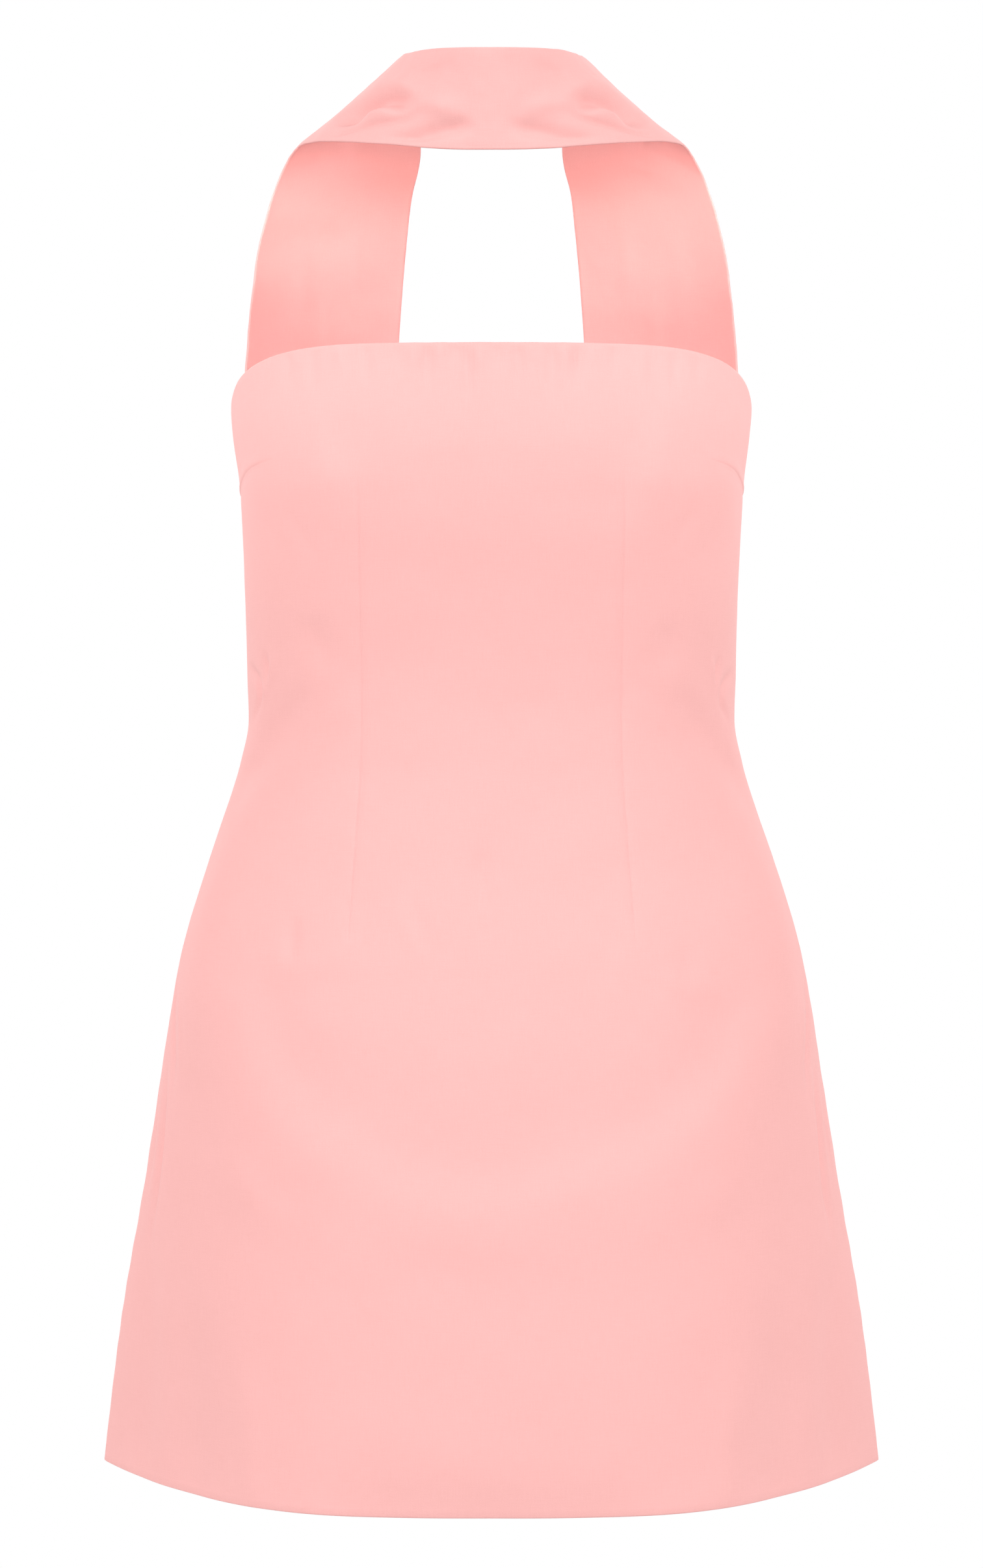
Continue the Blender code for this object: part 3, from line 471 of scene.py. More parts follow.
def cloth_height(bearing, level, front):
    """Height of a row of the cloth, whose level is 0 at the top edge and HEM_CENTRE at the hem."""
    share = level / HEM_CENTRE
    near_top = 1 - ease(share / EDGE_SHARE)
    near_hem = ease((share - (1 - EDGE_SHARE)) / EDGE_SHARE)
    return level + top_edge(bearing, front) * near_top + (hem_edge(bearing) - HEM_CENTRE) * near_hem


def zip_slit(height):
    """Half the gap between the back panels."""
    closed = ease((height - ZIP_END) / ZIP_END_FADE)
    beside = np.exp(-(((height - SLIDER_HEIGHT) / SLIDER_SPREAD) ** 4))
    gap = SEAM_GAP + (ZIP_SLIT - SEAM_GAP) * closed + (SLIDER_SLIT - ZIP_SLIT) * beside
    return gap / 2


# ================================================================ creases
def smooth_path(points, count):
    """count points of a smooth path through a few, in any number of dimensions."""
    points = np.array(points, float)
    step = np.linalg.norm(np.diff(points, axis=0), axis=1)
    places = np.concatenate(([0.0], np.cumsum(step)))
    return hermite(points, places, np.linspace(0, places[-1], count))


def hermite(points, places, at):
    """Points at places on the smooth path that passes each of points at its own place."""
    last = len(points) - 1
    before = np.maximum(np.arange(last + 1) - 1, 0)
    after = np.minimum(np.arange(last + 1) + 1, last)
    wide = (1,) * (points.ndim - 1)
    tangent = (points[after] - points[before]) / (places[after] - places[before]).reshape(-1, *wide)
    i = np.clip(np.searchsorted(places, at, "right") - 1, 0, last - 1)
    width = (places[i + 1] - places[i]).reshape(-1, *wide)
    t = (at - places[i]).reshape(-1, *wide) / width
    return cubic(t, width, points[i], points[i + 1], tangent[i], tangent[i + 1])


def crease_relief(u, v, creases):
    """How far the creases raise the cloth at places (u, v), which are real distances along it."""
    places = np.stack((u.ravel(), v.ravel()), axis=1)
    total = np.zeros(len(places))
    for crease in creases:
        line = smooth_path(crease.path, CREASE_STEPS * len(crease.path))
        reach = CREASE_REACH * max(crease.left, crease.right)
        low, high = line.min(0) - reach, line.max(0) + reach
        near = np.nonzero(((places > low) & (places < high)).all(1))[0]
        if len(near) == 0:
            continue
        run = np.diff(line, axis=0)
        length = np.linalg.norm(run, axis=1)
        start = np.concatenate(([0.0], np.cumsum(length)))
        offset = places[near][:, None, :] - line[None, :-1, :]
        t = np.clip((offset * run).sum(2) / length**2, 0, 1)
        away = offset - t[..., None] * run
        distance = np.linalg.norm(away, axis=2)
        k = distance.argmin(1)
        row = np.arange(len(near))
        side = np.sign(run[k, 0] * away[row, k, 1] - run[k, 1] * away[row, k, 0])
        width = np.where(side > 0, crease.left, crease.right)
        along = (start[k] + t[row, k] * length[k]) / start[-1]
        fade = ease(along / crease.start) * ease((1 - along) / crease.end)
        total[near] += crease.rise * fade * np.exp(-((distance[row, k] / width) ** 2))
    return total.reshape(u.shape)


def wobble(u, v, waves, seed):
    """A gentle unevenness: for each row of waves, a few in directions of their own."""
    total = np.zeros_like(u)
    for row, wave in enumerate(waves):
        draw = np.random.default_rng(seed + row)
        height = np.zeros_like(u)
        for _ in range(WOBBLE_WAVES):
            turn, phase = draw.uniform(0, 2 * math.pi, 2)
            number = 2 * math.pi / (wave.size * draw.uniform(*WOBBLE_SIZES))
            height += np.sin((u * math.cos(turn) + v * math.sin(turn)) * number + phase)
        total += wave.rise * height / math.sqrt(WOBBLE_WAVES / 2)
    return total


def arc_to(bearing, height, front):
    """Distance along the cloth from the middle line to a bearing, with its sign."""
    turn = np.linspace(0, abs(bearing) if front else 180 - abs(bearing), ARC_STEPS)
    line = form_point(turn if front else 180 - turn, np.full(ARC_STEPS, float(height)), front)
    return math.copysign(np.linalg.norm(np.diff(line, axis=0), axis=1).sum(), bearing)


def on_cloth(creases, front, side=1):
    """Creases whose paths are bearings and heights, with their paths as distances on the cloth."""
    laid = []
    for crease in creases:
        path = [(side * arc_to(b, h, front), h) for b, h in smooth_path(crease.path, LAID_STEPS)]
        left, right = (crease.left, crease.right) if side > 0 else (crease.right, crease.left)
        laid.append(crease._replace(path=path, left=left, right=right))
    return laid


def pucker_creases(puckers, front, side=1):
    """Puckers as short vertical creases that start at the top edge."""
    made = []
    half_width = float(section_at(0.0).half_width)
    for pucker in puckers:
        turn = math.degrees(math.asin(pucker.x / half_width))
        bearing = turn if front else 180 - turn
        top = float(top_edge(bearing, front))
        arc = side * arc_to(bearing, top, front)
        path = [
            (arc, top + PUCKER_START),
            (arc + PUCKER_SWAY, top - pucker.length / 2),
            (arc, top - pucker.length),
        ]
        made.append(Crease(pucker.rise, *PUCKER_SIDES, path, *PUCKER_ENDS))
    return made


# ================================================================ cloth panels
# Where the points of a panel lie. level is a row's own height before the edges curve it, arc is the
# distance along the cloth from the middle, and seam and dart are the arcs of those lines there.
Places = namedtuple("Places", "bearing height arc level seam dart")


def row_levels(extra=()):
    """Levels of the cloth's rows from the top edge to the hem, with extra rows close together."""
    edge = CLOTH / 2
    tops = np.array([-row.level for row in ROW_STEPS])
    gaps = np.array([row.step for row in ROW_STEPS])
    levels = [-edge]
    while levels[-1] > HEM_CENTRE + edge:
        levels.append(levels[-1] - np.interp(-levels[-1], tops, gaps))
    levels = np.array(levels)
    levels = -edge + (levels + edge) * (HEM_CENTRE + 2 * edge) / (levels[-1] + edge)
    if len(extra):
        levels = levels[(levels > extra[0] + EXTRA_GAP) | (levels < extra[-1] - EXTRA_GAP)]
    return np.sort(np.concatenate((levels, extra)))[::-1]


def half_panel(levels, front, dart, centre_columns, side_columns):
    """Where the points of one half lie, from the centre front or the zip to the side seam."""
    turn = np.linspace(0, 90, TURN_STEPS)
    bearing = turn if front else 180 - turn
    height = cloth_height(bearing[None, :], levels[:, None], front)
    line = form_point(bearing[None, :], height, front)
    step = np.linalg.norm(np.diff(line, axis=1), axis=2)
    arc = np.concatenate((np.zeros((len(levels), 1)), np.cumsum(step, axis=1)), axis=1)
    half_width = section_at(levels).half_width
    dart_turn = np.degrees(np.arcsin(table_curve(dart.line, "x", levels) / half_width))
    turns, arcs, darts = [], [], []
    for r, level in enumerate(levels):
        dart_arc = np.interp(dart_turn[r], turn, arc[r])
        seam_arc = arc[r, -1]
        if front:
            first = np.array([0.0])
        else:
            first = float(zip_slit(level)) + FOLD_COLUMNS
        near, far = dart_arc + DART_COLUMNS[0], dart_arc + DART_COLUMNS[-1]
        last = seam_arc - SEAM_COLUMNS
        row = np.concatenate((
            first,
            np.linspace(first[-1], near, centre_columns + 1)[1:-1],
            dart_arc + DART_COLUMNS,
            np.linspace(far, last[0], side_columns + 1)[1:-1],
            last,
        ))
        arcs.append(row)
        turns.append(np.interp(row, arc[r], turn))
        darts.append(dart_arc)
    turns, arcs = np.array(turns), np.array(arcs)
    bearing = turns if front else 180 - turns
    height = cloth_height(bearing, levels[:, None], front)
    spread = np.ones_like(arcs)
    return Places(
        bearing, height, arcs, levels[:, None] * spread, arc[:, -1:] * spread,
        np.array(darts)[:, None] * spread,
    )


def mirrored_places(half):
    """The same half on -X, with its columns in the opposite order."""
    flipped = Places(*[values[:, ::-1] for values in half])
    return flipped._replace(bearing=-flipped.bearing, arc=-flipped.arc)


def joined_places(half):
    left = mirrored_places(half)
    return Places(*[np.concatenate((a[:, :-1], b), axis=1) for a, b in zip(left, half)])


def along_line(past, rows):
    """The relief along a sewn line, at a distance past it."""
    return sum(row.rise * np.exp(-(((past - row.past) / row.width) ** 2)) for row in rows)


def ripples(past, height, row):
    wave = np.sin(height / row.wave + row.sway * np.sin(height / row.sway_wave))
    return wave * along_line(past, [row])


def sewn_lines(places, dart, front):
    """How far the darts and seams draw the cloth in or let it stand proud."""
    arc = np.abs(places.arc)
    run = (places.height - dart.end) / (dart.top - dart.end)
    on_dart = ease(run / DART_ENDS) * ease((1 - run) / DART_ENDS)
    past_dart, from_seam = arc - places.dart, places.seam - arc
    relief = on_dart * along_line(past_dart, DART_RELIEF)
    relief += on_dart * ripples(past_dart, places.height, DART_RIPPLE)
    relief += along_line(from_seam, SEAM_RELIEF)
    relief += ripples(from_seam, places.height, SEAM_RIPPLE)
    if front:
        on_bust = ease((np.abs(places.bearing) - BUST_DART_TIP) / BUST_DART_FADE)
        relief += on_bust * along_line(places.level - BUST_DART_LEVEL, BUST_DART_RELIEF)
    return relief


def turned_in(distance, turning):
    """1 where the edge that is this far away is turned in, and 0 beyond the turning."""
    return ease((turning.width - distance) / turning.step)


def inside_layers(places, dart, front):
    """The cloth's thickness, with the turned edges, allowances and dart folds on the inside."""
    arc = np.abs(places.arc)
    run = np.clip((places.height - dart.end) / (dart.top - dart.end), 0, 1)
    intake = DART_INTAKE * np.sin(math.pi * run) ** DART_FOLD_CURVE
    past_dart = arc - places.dart
    folded = ease(past_dart + intake) * ease((DART_FOLD_EDGE - past_dart) / DART_FOLD_STEP)
    doubled = [
        turned_in(-places.level, TOP_TURNING),
        turned_in(places.level - HEM_CENTRE, HEM_TURNING),
        turned_in(places.seam - arc, SIDE_TURNING),
        folded * ease(intake / DART_FOLD_FADE),
    ]
    if not front:
        doubled.append(turned_in(arc, ZIP_TURNING))
    return CLOTH + TURNED * np.maximum.reduce(doubled)


def cloth_panel(name, places, dart, creases, front, seed, finish):
    """A panel of the dress, and its hem's line on the inside with the directions inwards."""
    point = form_point(places.bearing, places.height, front)
    out = form_normal(places.bearing, places.height, front)
    from_seam = places.seam - np.abs(places.arc)
    point[..., 1] += (-1 if front else 1) * SEAM_GAP / 2 * np.exp(-from_seam)
    relief = crease_relief(places.arc, places.height, creases)
    relief += wobble(places.arc, places.height, PANEL_WAVES, seed)
    loose = ease(from_seam / SEAM_HOLD)
    if not front:
        loose = loose * ease((np.abs(places.arc) - ZIP_TURNING.width) / ZIP_HOLD)
    relief = relief * loose + sewn_lines(places, dart, front)
    if not front:  # the folded edges roll into the zip's slit
        slit = zip_slit(places.height)
        from_slit = np.abs(places.arc) - slit
        on_slit = from_slit < SLIT_REACH
        point[..., 0] = np.where(on_slit, np.sign(places.bearing) * slit, point[..., 0])
        relief += along_line(from_slit, [FOLD_ROLL])
    outer = point + out * relief[..., None]
    inner = outer - out * inside_layers(places, dart, front)[..., None]
    if not front:  # and meet in the zip's own plane
        inner[..., 0] = np.where(on_slit, outer[..., 0], inner[..., 0])
    piece = shell(name, outer, inner, places.arc, places.height, finish)
    row = np.abs(places.level[:, 0] - HEM_CENTRE - HEM_STITCHED).argmin()
    return piece, (inner[row], -out[row])


def rim(outer_edge, inner_edge, next_in):
    """Points round the folded edge of a cloth, from its outer face to its inner one."""
    middle, half = (outer_edge + inner_edge) / 2, (outer_edge - inner_edge) / 2
    out = unit(half)
    beyond = outer_edge - next_in
    beyond = unit(beyond - (beyond * out).sum(-1, keepdims=True) * out)
    radius = np.linalg.norm(half, axis=-1, keepdims=True)
    return np.stack([middle + half * math.cos(a) + beyond * radius * math.sin(a) for a in RIM_ANGLES])


def shell(name, outer, inner, across, down, finish):
    """A closed cloth from two grids of points in millimetres, rows by columns, with round edges at
    its first and last rows and cut ends at its first and last columns."""
    rows, columns = outer.shape[:2]
    first = rim(outer[0], inner[0], outer[1])
    last = rim(outer[-1], inner[-1], outer[-2])
    ring = np.concatenate((outer, last, inner[::-1], first[::-1]))
    edge = len(RIM_ANGLES)
    order = [*range(rows), *[rows - 1] * edge, *reversed(range(rows)), *[0] * edge]
    weave = np.stack((across[order], down[order]), axis=-1) * MM
    index = np.arange(len(ring) * columns).reshape(len(ring), columns)
    after = np.roll(index, -1, axis=0)
    quads = np.stack((index[:, :-1], index[:, 1:], after[:, 1:], after[:, :-1]), axis=-1)
    faces = quads.reshape(-1, 4).tolist()
    inner_row = len(ring) - edge - 1  # the ring's row that lies under outer row 0
    for c in (0, columns - 1):
        faces += [
            [index[r, c], index[r + 1, c], index[inner_row - r - 1, c], index[inner_row - r, c]]
            for r in range(rows - 1)
        ]
        faces.append([index[r, c] for r in range(rows - 1, rows + edge + 1)])
        faces.append([index[r, c] for r in [*range(inner_row, len(ring)), 0]])
    return mesh_object(name, ring.reshape(-1, 3), faces, finish, weave.reshape(-1, 2))


def mesh_object(name, points, faces, finish, weave=None):
    """An object from table points, shaded smooth, with its faces turned outwards."""
    mesh = bpy.data.meshes.new(name)
    on_frame = (points - np.array([0.0, 0.0, NECK_HEIGHT])) * MM
    mesh.from_pydata(on_frame.tolist(), [], faces)
    if weave is not None:
        layer = mesh.uv_layers.new(name="weave")
        corner = np.zeros(len(mesh.loops), np.int32)
        mesh.loops.foreach_get("vertex_index", corner)
        layer.data.foreach_set("uv", weave[corner].astype(np.float32).ravel())
    bm = bmesh.new()
    bm.from_mesh(mesh)
    bmesh.ops.recalc_face_normals(bm, faces=bm.faces)
    bm.to_mesh(mesh)
    bm.free()
    mesh.shade_smooth()
    mesh.set_sharp_from_angle(angle=math.radians(SHARP_FROM))
    mesh.materials.append(finish)
    obj = bpy.data.objects.new(name, mesh)
    bpy.context.scene.collection.objects.link(obj)
    return obj


# ================================================================ the scarf band
def free_points(share):
    """Points of each station at a share of the way across it, with the bulge as a fourth number."""
    rows = []
    for s in SCARF_STATIONS:
        neck = np.array([s.neck_x, s.neck_y, s.neck_z])
        edge = np.array([s.edge_x, s.edge_y, s.edge_z])
        rows.append(np.append(neck + (edge - neck) * share, s.bulge * 4 * share * (1 - share)))
    return rows


def laid_points(share):
    """The same for the rows that lie on the back, or just inside the panel at the sewn end."""
    rows = []
    for row in STRAP_ROWS:
        x = row.neck_x + (row.edge_x - row.neck_x) * share
        height = np.array(row.height)
        tucked = (STRAP_TUCK_START - row.height) / (STRAP_TUCK_START - STRAP_TUCK_END)
        inset = STRAP_INSET * float(ease(tucked))
        half_width = float(section_at(height).half_width)
        reach = x
        for _ in range(4):  # the point of the outer face whose inset point lies at x
            bearing = 180 - math.degrees(math.asin(reach / half_width))
            normal = form_normal(bearing, height, False)
            reach = x + inset * normal[0]
        point = form_point(bearing, height, False) - normal * inset
        rows.append(np.array([point[0], point[1], row.height, 0.0]))
    return rows


def scarf_line(share):
    """The whole line of the band at a share of the way across it, from one sewn end to the other."""
    half = np.array(free_points(share) + laid_points(share))
    other = half[:0:-1] * np.array([-1.0, 1.0, 1.0, 1.0])
    return np.concatenate((other, half))


def scarf_places():
    """Points of the band, across by along, and how far each lies along and across it."""
    middle = scarf_line(0.5)
    chords = np.linalg.norm(np.diff(middle[:, :3], axis=0), axis=1)
    places = np.concatenate(([0.0], np.cumsum(chords)))
    at = np.linspace(0, places[-1], round(places[-1] / SCARF_STEP) + 1)
    even = np.linspace(0, 1, SCARF_COLUMNS + 1)
    share = SCARF_CLOSER * (1 - np.cos(math.pi * even)) / 2 + (1 - SCARF_CLOSER) * even
    share = SCARF_RIM + (1 - 2 * SCARF_RIM) * share
    grid = np.stack([hermite(scarf_line(s), places, at) for s in share])
    along = (at - places[-1] / 2)[None, :] * np.ones((len(share), 1))
    step = np.linalg.norm(np.diff(grid[..., :3], axis=0), axis=2)
    across = np.concatenate((np.zeros((1, len(at))), np.cumsum(step, axis=0)))
    return grid[..., :3], grid[..., 3], along, across


def scarf_band(finish):
    point, bulge, along, across = scarf_places()
    width = across[-1:]
    facing = ease((SCARF_FRONT_START - point[..., 1]) / SCARF_FRONT_BLEND)
    lean = SCARF_LEAN + SCARF_MIDDLE_LEAN * np.exp(-((point[..., 0] / SCARF_MIDDLE_WIDTH) ** 2))
    lean = facing * lean * (1 - across / width) ** SCARF_LEAN_CURVE
    point[..., 1] -= lean
    point[..., 2] -= lean * SCARF_LEAN_DROP
    bulge = bulge * (1 - (1 - SCARF_FRONT_BULGE) * facing)
    out = unit(np.cross(np.gradient(point, axis=0), np.gradient(point, axis=1)))
    near_edge = np.minimum(across, width - across)
    relief = crease_relief(point[..., 0], point[..., 2], BAND_FRONT_CREASES)
    relief *= facing * ease((near_edge + SCARF_EDGE_FLAT) / SCARF_EDGE_GROW)
    relief += crease_relief(np.abs(along), across, BAND_STRAP_CREASES)
    free = ease((point[..., 2] - SEWN_END) / SEWN_END_BLEND)
    relief += free * wobble(along, across, BAND_WAVES, BAND_SEED)
    relief += along_line(near_edge, [SCARF_EDGE_RELIEF])
    outer = point + out * (bulge + relief * free)[..., None]
    inner = outer - out * SCARF
    return shell("scarf_cloth", outer, inner, along, across, finish)


# ================================================================ finishes
class Wire:
    """A value in a node tree. Sums written with wires add the Math nodes that work them out."""

    def __init__(self, graph, socket):
        self.graph = graph
        self.socket = socket

    def maths(self, operation, *values):
        return self.graph.node("ShaderNodeMath", {"operation": operation}, dict(enumerate(values)))

    def __add__(self, other):
        return self.maths("ADD", self, other)

    __radd__ = __add__

    def __mul__(self, other):
        return self.maths("MULTIPLY", self, other)

    __rmul__ = __mul__

    def __sub__(self, other):
        return self.maths("SUBTRACT", self, other)

    def __rsub__(self, other):
        return self.maths("SUBTRACT", other, self)

    def __abs__(self):
        return self.maths("ABSOLUTE", self)

    def sine(self):
        return self.maths("SINE", self)


class Graph:
    """The nodes of a material or of the world."""

    def __init__(self, tree):
        self.tree = tree

    def node(self, kind, settings=None, inputs=None, output=0):
        """A node of any kind: its settings first, then the values or wires of its inputs."""
        made = self.tree.nodes.new(kind)
        for name, value in (settings or {}).items():
            if name == "stops":
                self.set_stops(made.color_ramp, value)
            else:
                setattr(made, name, value)
        for name, value in (inputs or {}).items():
            self.feed(made.inputs[name], value)
        return Wire(self, made.outputs[output])

    def set_stops(self, ramp, stops):
        while len(ramp.elements) < len(stops):
            ramp.elements.new(1.0)
        for element, (place, colour) in zip(ramp.elements, stops):
            element.position = place
            element.color = colour

    def feed(self, socket, value):
        if isinstance(value, Wire):
            self.tree.links.new(value.socket, socket)
        else:
            socket.default_value = value


class Finish(Graph):
    """A material under construction, round its Principled shader."""

    def __init__(self, name, constants=None):
        self.material = bpy.data.materials.new(name)
        self.material.use_nodes = True
        super().__init__(self.material.node_tree)
        self.shader = self.tree.nodes["Principled BSDF"]
        self.set(constants or {})

    def set(self, inputs):
        for name, value in inputs.items():
            self.feed(self.shader.inputs[name], value)

    def place(self):
        return self.node("ShaderNodeTexCoord", output="Object")

    def split(self, vector):
        """The three numbers of a vector."""
        first = self.node("ShaderNodeSeparateXYZ", inputs={"Vector": vector})
        return [Wire(self, socket) for socket in first.socket.node.outputs]

    def noise(self, vector, scale, detail=2.0, roughness=0.5):
        values = {"Vector": vector, "Scale": scale, "Detail": detail, "Roughness": roughness}
        return self.node("ShaderNodeTexNoise", inputs=values)

    def stretched(self, vector, x, y):
        return self.node("ShaderNodeMapping", inputs={"Vector": vector, "Scale": (x, y, 1.0)})

    def ramp(self, value, stops):
        return self.node("ShaderNodeValToRGB", {"stops": stops}, {"Fac": value})

    def between_colours(self, factor, colours):
        """From the first of two colours to the second, which are a colour mix's inputs 6 and 7."""
        values = {0: factor, 6: colours[0], 7: colours[1]}
        return self.node("ShaderNodeMix", {"data_type": "RGBA"}, values, output=2)

    def bump(self, height, strength, distance):
        values = {"Height": height, "Strength": strength, "Distance": distance}
        self.set({"Normal": self.node("ShaderNodeBump", inputs=values)})


THREAD_SPACING = 0.00042  # metres between two threads of the dress cloth, the finishes' own unit
RIB_SPACING = 0.0009  # between two ribs of the zip's tape
CLOTH_DEEP = (0.81, 0.408, 0.388, 1.0)
CLOTH_COLOUR = (0.83, 0.430, 0.412, 1.0)
CLOTH_PALE = (0.85, 0.452, 0.436, 1.0)
TAPE_COLOURS = ((0.86, 0.33, 0.31, 1.0), (0.93, 0.40, 0.38, 1.0))
THREAD_COLOURS = ((0.86, 0.32, 0.30, 1.0), (0.95, 0.43, 0.41, 1.0))
NYLON_COLOURS = ((0.88, 0.35, 0.33, 1.0), (0.94, 0.42, 0.40, 1.0))
ENAMEL_COLOURS = ((0.90, 0.36, 0.34, 1.0), (0.93, 0.80, 0.78, 1.0))  # sprayed, and worn
FLOOR_COLOURS = ((0.70, 0.70, 0.70, 1.0), (0.74, 0.74, 0.74, 1.0))
BLACK = (0.0, 0.0, 0.0, 1.0)
WHITE = (1.0, 1.0, 1.0, 1.0)


def woven_crepe():
    """Matt crepe: a fine plain weave of slightly uneven threads, with a faint soft sheen."""
    soft = {"Sheen Weight": 0.10, "Sheen Roughness": 0.45, "Specular IOR Level": 0.22}
    cloth = Finish("pink_crepe", soft)
    weave = cloth.node("ShaderNodeUVMap", {"uv_map": "weave"})
    across, down, _ = cloth.split(weave)
    turns = 2 * math.pi / THREAD_SPACING
    sway = (cloth.noise(weave, 420.0, 1.0) - 0.5) * 1.6
    warp = (across * turns + sway).sine()
    weft = (down * turns + sway).sine()
    threads = warp * weft * 0.5 + 0.5
    slub_across = cloth.noise(cloth.stretched(weave, 90.0, 1500.0), 1.0, 2.0, 0.6)
    slub_down = cloth.noise(cloth.stretched(weave, 1500.0, 90.0), 1.0, 2.0, 0.6)
    slubs = (slub_across + slub_down) * 0.5
    crepe = cloth.noise(weave, 1500.0, 2.0, 0.6)
    cloth.bump(threads * 0.45 + slubs * 0.9 + crepe * 0.8, 0.32, 0.00009)
    patches = cloth.noise(weave, 26.0, 3.0, 0.55)
    tone = slubs * 0.45 + crepe * 0.45 + patches * 0.10
    colour = cloth.ramp(tone, [(0.36, CLOTH_DEEP), (0.5, CLOTH_COLOUR), (0.66, CLOTH_PALE)])
    cloth.set({"Base Color": colour, "Roughness": 0.78 + (crepe - 0.5) * 0.16})
    return cloth.material


def zip_tape_weave():
    """The zip's tape: a close herringbone of ribs, a little deeper in colour than the cloth."""
    tape = Finish("pink_tape_weave", {"Sheen Weight": 0.05})
    place = tape.place()
    x, _, z = tape.split(place)
    turns = 2 * math.pi / RIB_SPACING
    ribs = (z * turns + abs(x * 3.0) * turns).sine() * 0.5 + 0.5
    grain = tape.noise(place, 2600.0, 2.0)
    tape.bump(ribs * 0.8 + grain * 0.4, 0.4, 0.00012)
    colour = tape.between_colours(ribs * 0.7 + grain * 0.3, TAPE_COLOURS)
    tape.set({"Base Color": colour, "Roughness": 0.8 + (grain - 0.5) * 0.15})
    return tape.material


def sewing_thread():
    thread = Finish("pink_thread", {"Roughness": 0.55, "Sheen Weight": 0.05})
    twist = thread.noise(thread.place(), 5200.0, 1.0)
    thread.bump(twist, 0.4, 0.00008)
    thread.set({"Base Color": thread.between_colours(twist, THREAD_COLOURS)})
    return thread.material


def nylon_coil():
    coil = Finish("pink_nylon")
    haze = coil.noise(coil.place(), 900.0, 2.0)
    colour = coil.between_colours(haze, NYLON_COLOURS)
    coil.set({"Base Color": colour, "Roughness": 0.34 + (haze - 0.5) * 0.2})
    return coil.material


def enamel():
    """Sprayed enamel on the zip's slider and pull, a little worn to the metal at the edges."""
    paint = Finish("pink_enamel_gloss", {"Coat Weight": 0.35, "Coat Roughness": 0.12})
    pointed = paint.node("ShaderNodeNewGeometry", output="Pointiness")
    speckle = paint.noise(paint.place(), 2400.0, 3.0)
    edges = pointed + (speckle - 0.5) * 0.22
    worn = paint.ramp(edges, [(0.56, BLACK), (0.64, WHITE)]) * 0.5
    colour = paint.between_colours(worn, ENAMEL_COLOURS)
    paint.set({"Base Color": colour, "Metallic": worn, "Roughness": 0.30 + speckle * 0.15})
    paint.bump(speckle, 0.15, 0.00004)
    return paint.material


def plain_floor():
    floor = Finish("white_floor", {"Roughness": 0.9})
    haze = floor.noise(floor.place(), 3.0, 2.0)
    floor.set({"Base Color": floor.between_colours(haze, FLOOR_COLOURS)})
    return floor.material


# ================================================================ sewing and the zip's coil
TUBE_SIDES = 5
TUBE_STEEP = 0.9  # a tube's rings are set by the second of two directions if it runs up past this
TUBE_GUIDES = (np.array([0.31, 0.17, 0.93]), np.array([0.9, 0.3, 0.1]))
STITCH_ARCH = np.array([-1.0, 0.6, 1.0, 0.6, -1.0])  # a stitch's heights, as shares of its lift
Stitch = namedtuple("Stitch", "length gap lift radius")
ZIP_STITCH = Stitch(2.3, 0.6, 0.12, 0.16)
STRAP_STITCH = Stitch(2.4, 0.7, 0.12, 0.18)
HEM_STITCH = Stitch(3.2, 5.2, 0.35, 0.16)
HEM_FREE_POINTS = 3  # of the hem's line, at each end
ZIP_STITCHED = (-40.0, -398.0, 180)  # from one height to another, and how many points between
ZIP_STITCH_ROWS = (5.5, 11.8)  # from the middle
ZIP_STITCH_DEPTH = 3.05  # the tape's inner face, from the back's outer face
STRAP_STITCHED = (64.0, 151.0, 90)  # from one x to another, and how many points between
STRAP_STITCH_ROWS = (-38.5, -43.5)
STRAP_STITCH_DEPTH = STRAP_INSET + SCARF + 0.02
COIL_PITCH = 1.25
COIL_TOP = -53.0
COIL_END = -397.0
COIL_MIDDLE = 0.85  # from the middle plane to each coil's own middle
COIL_HALF_WIDTH = 1.15
COIL_HALF_DEPTH = 0.55
COIL_DEPTH = 2.75  # its middle, from the back's outer face
COIL_RADIUS = 0.24
COIL_STEPS = 9  # points in one turn


def tubes(name, lines, radius, finish):
    """One mesh of closed round tubes, each along its own line of table points."""
    points, faces, base = [], [], 0
    turn = np.arange(TUBE_SIDES) * 2 * math.pi / TUBE_SIDES
    for line in lines:
        run = unit(np.gradient(line, axis=0))
        steep = abs(run[:, 2]).max() >= TUBE_STEEP
        first = unit(np.cross(run, TUBE_GUIDES[int(steep)]))
        second = np.cross(run, first)
        ring = first[:, None, :] * np.cos(turn)[None, :, None]
        ring = ring + second[:, None, :] * np.sin(turn)[None, :, None]
        points.append((line[:, None, :] + ring * radius).reshape(-1, 3))
        for i in range(len(line) - 1):
            a, b = base + i * TUBE_SIDES, base + (i + 1) * TUBE_SIDES
            for k in range(TUBE_SIDES):
                after = (k + 1) % TUBE_SIDES
                faces.append([a + k, a + after, b + after, b + k])
        end = base + (len(line) - 1) * TUBE_SIDES
        faces.append([base + k for k in range(TUBE_SIDES)])
        faces.append([end + k for k in range(TUBE_SIDES)])
        base += len(line) * TUBE_SIDES
    return mesh_object(name, np.concatenate(points), faces, finish)


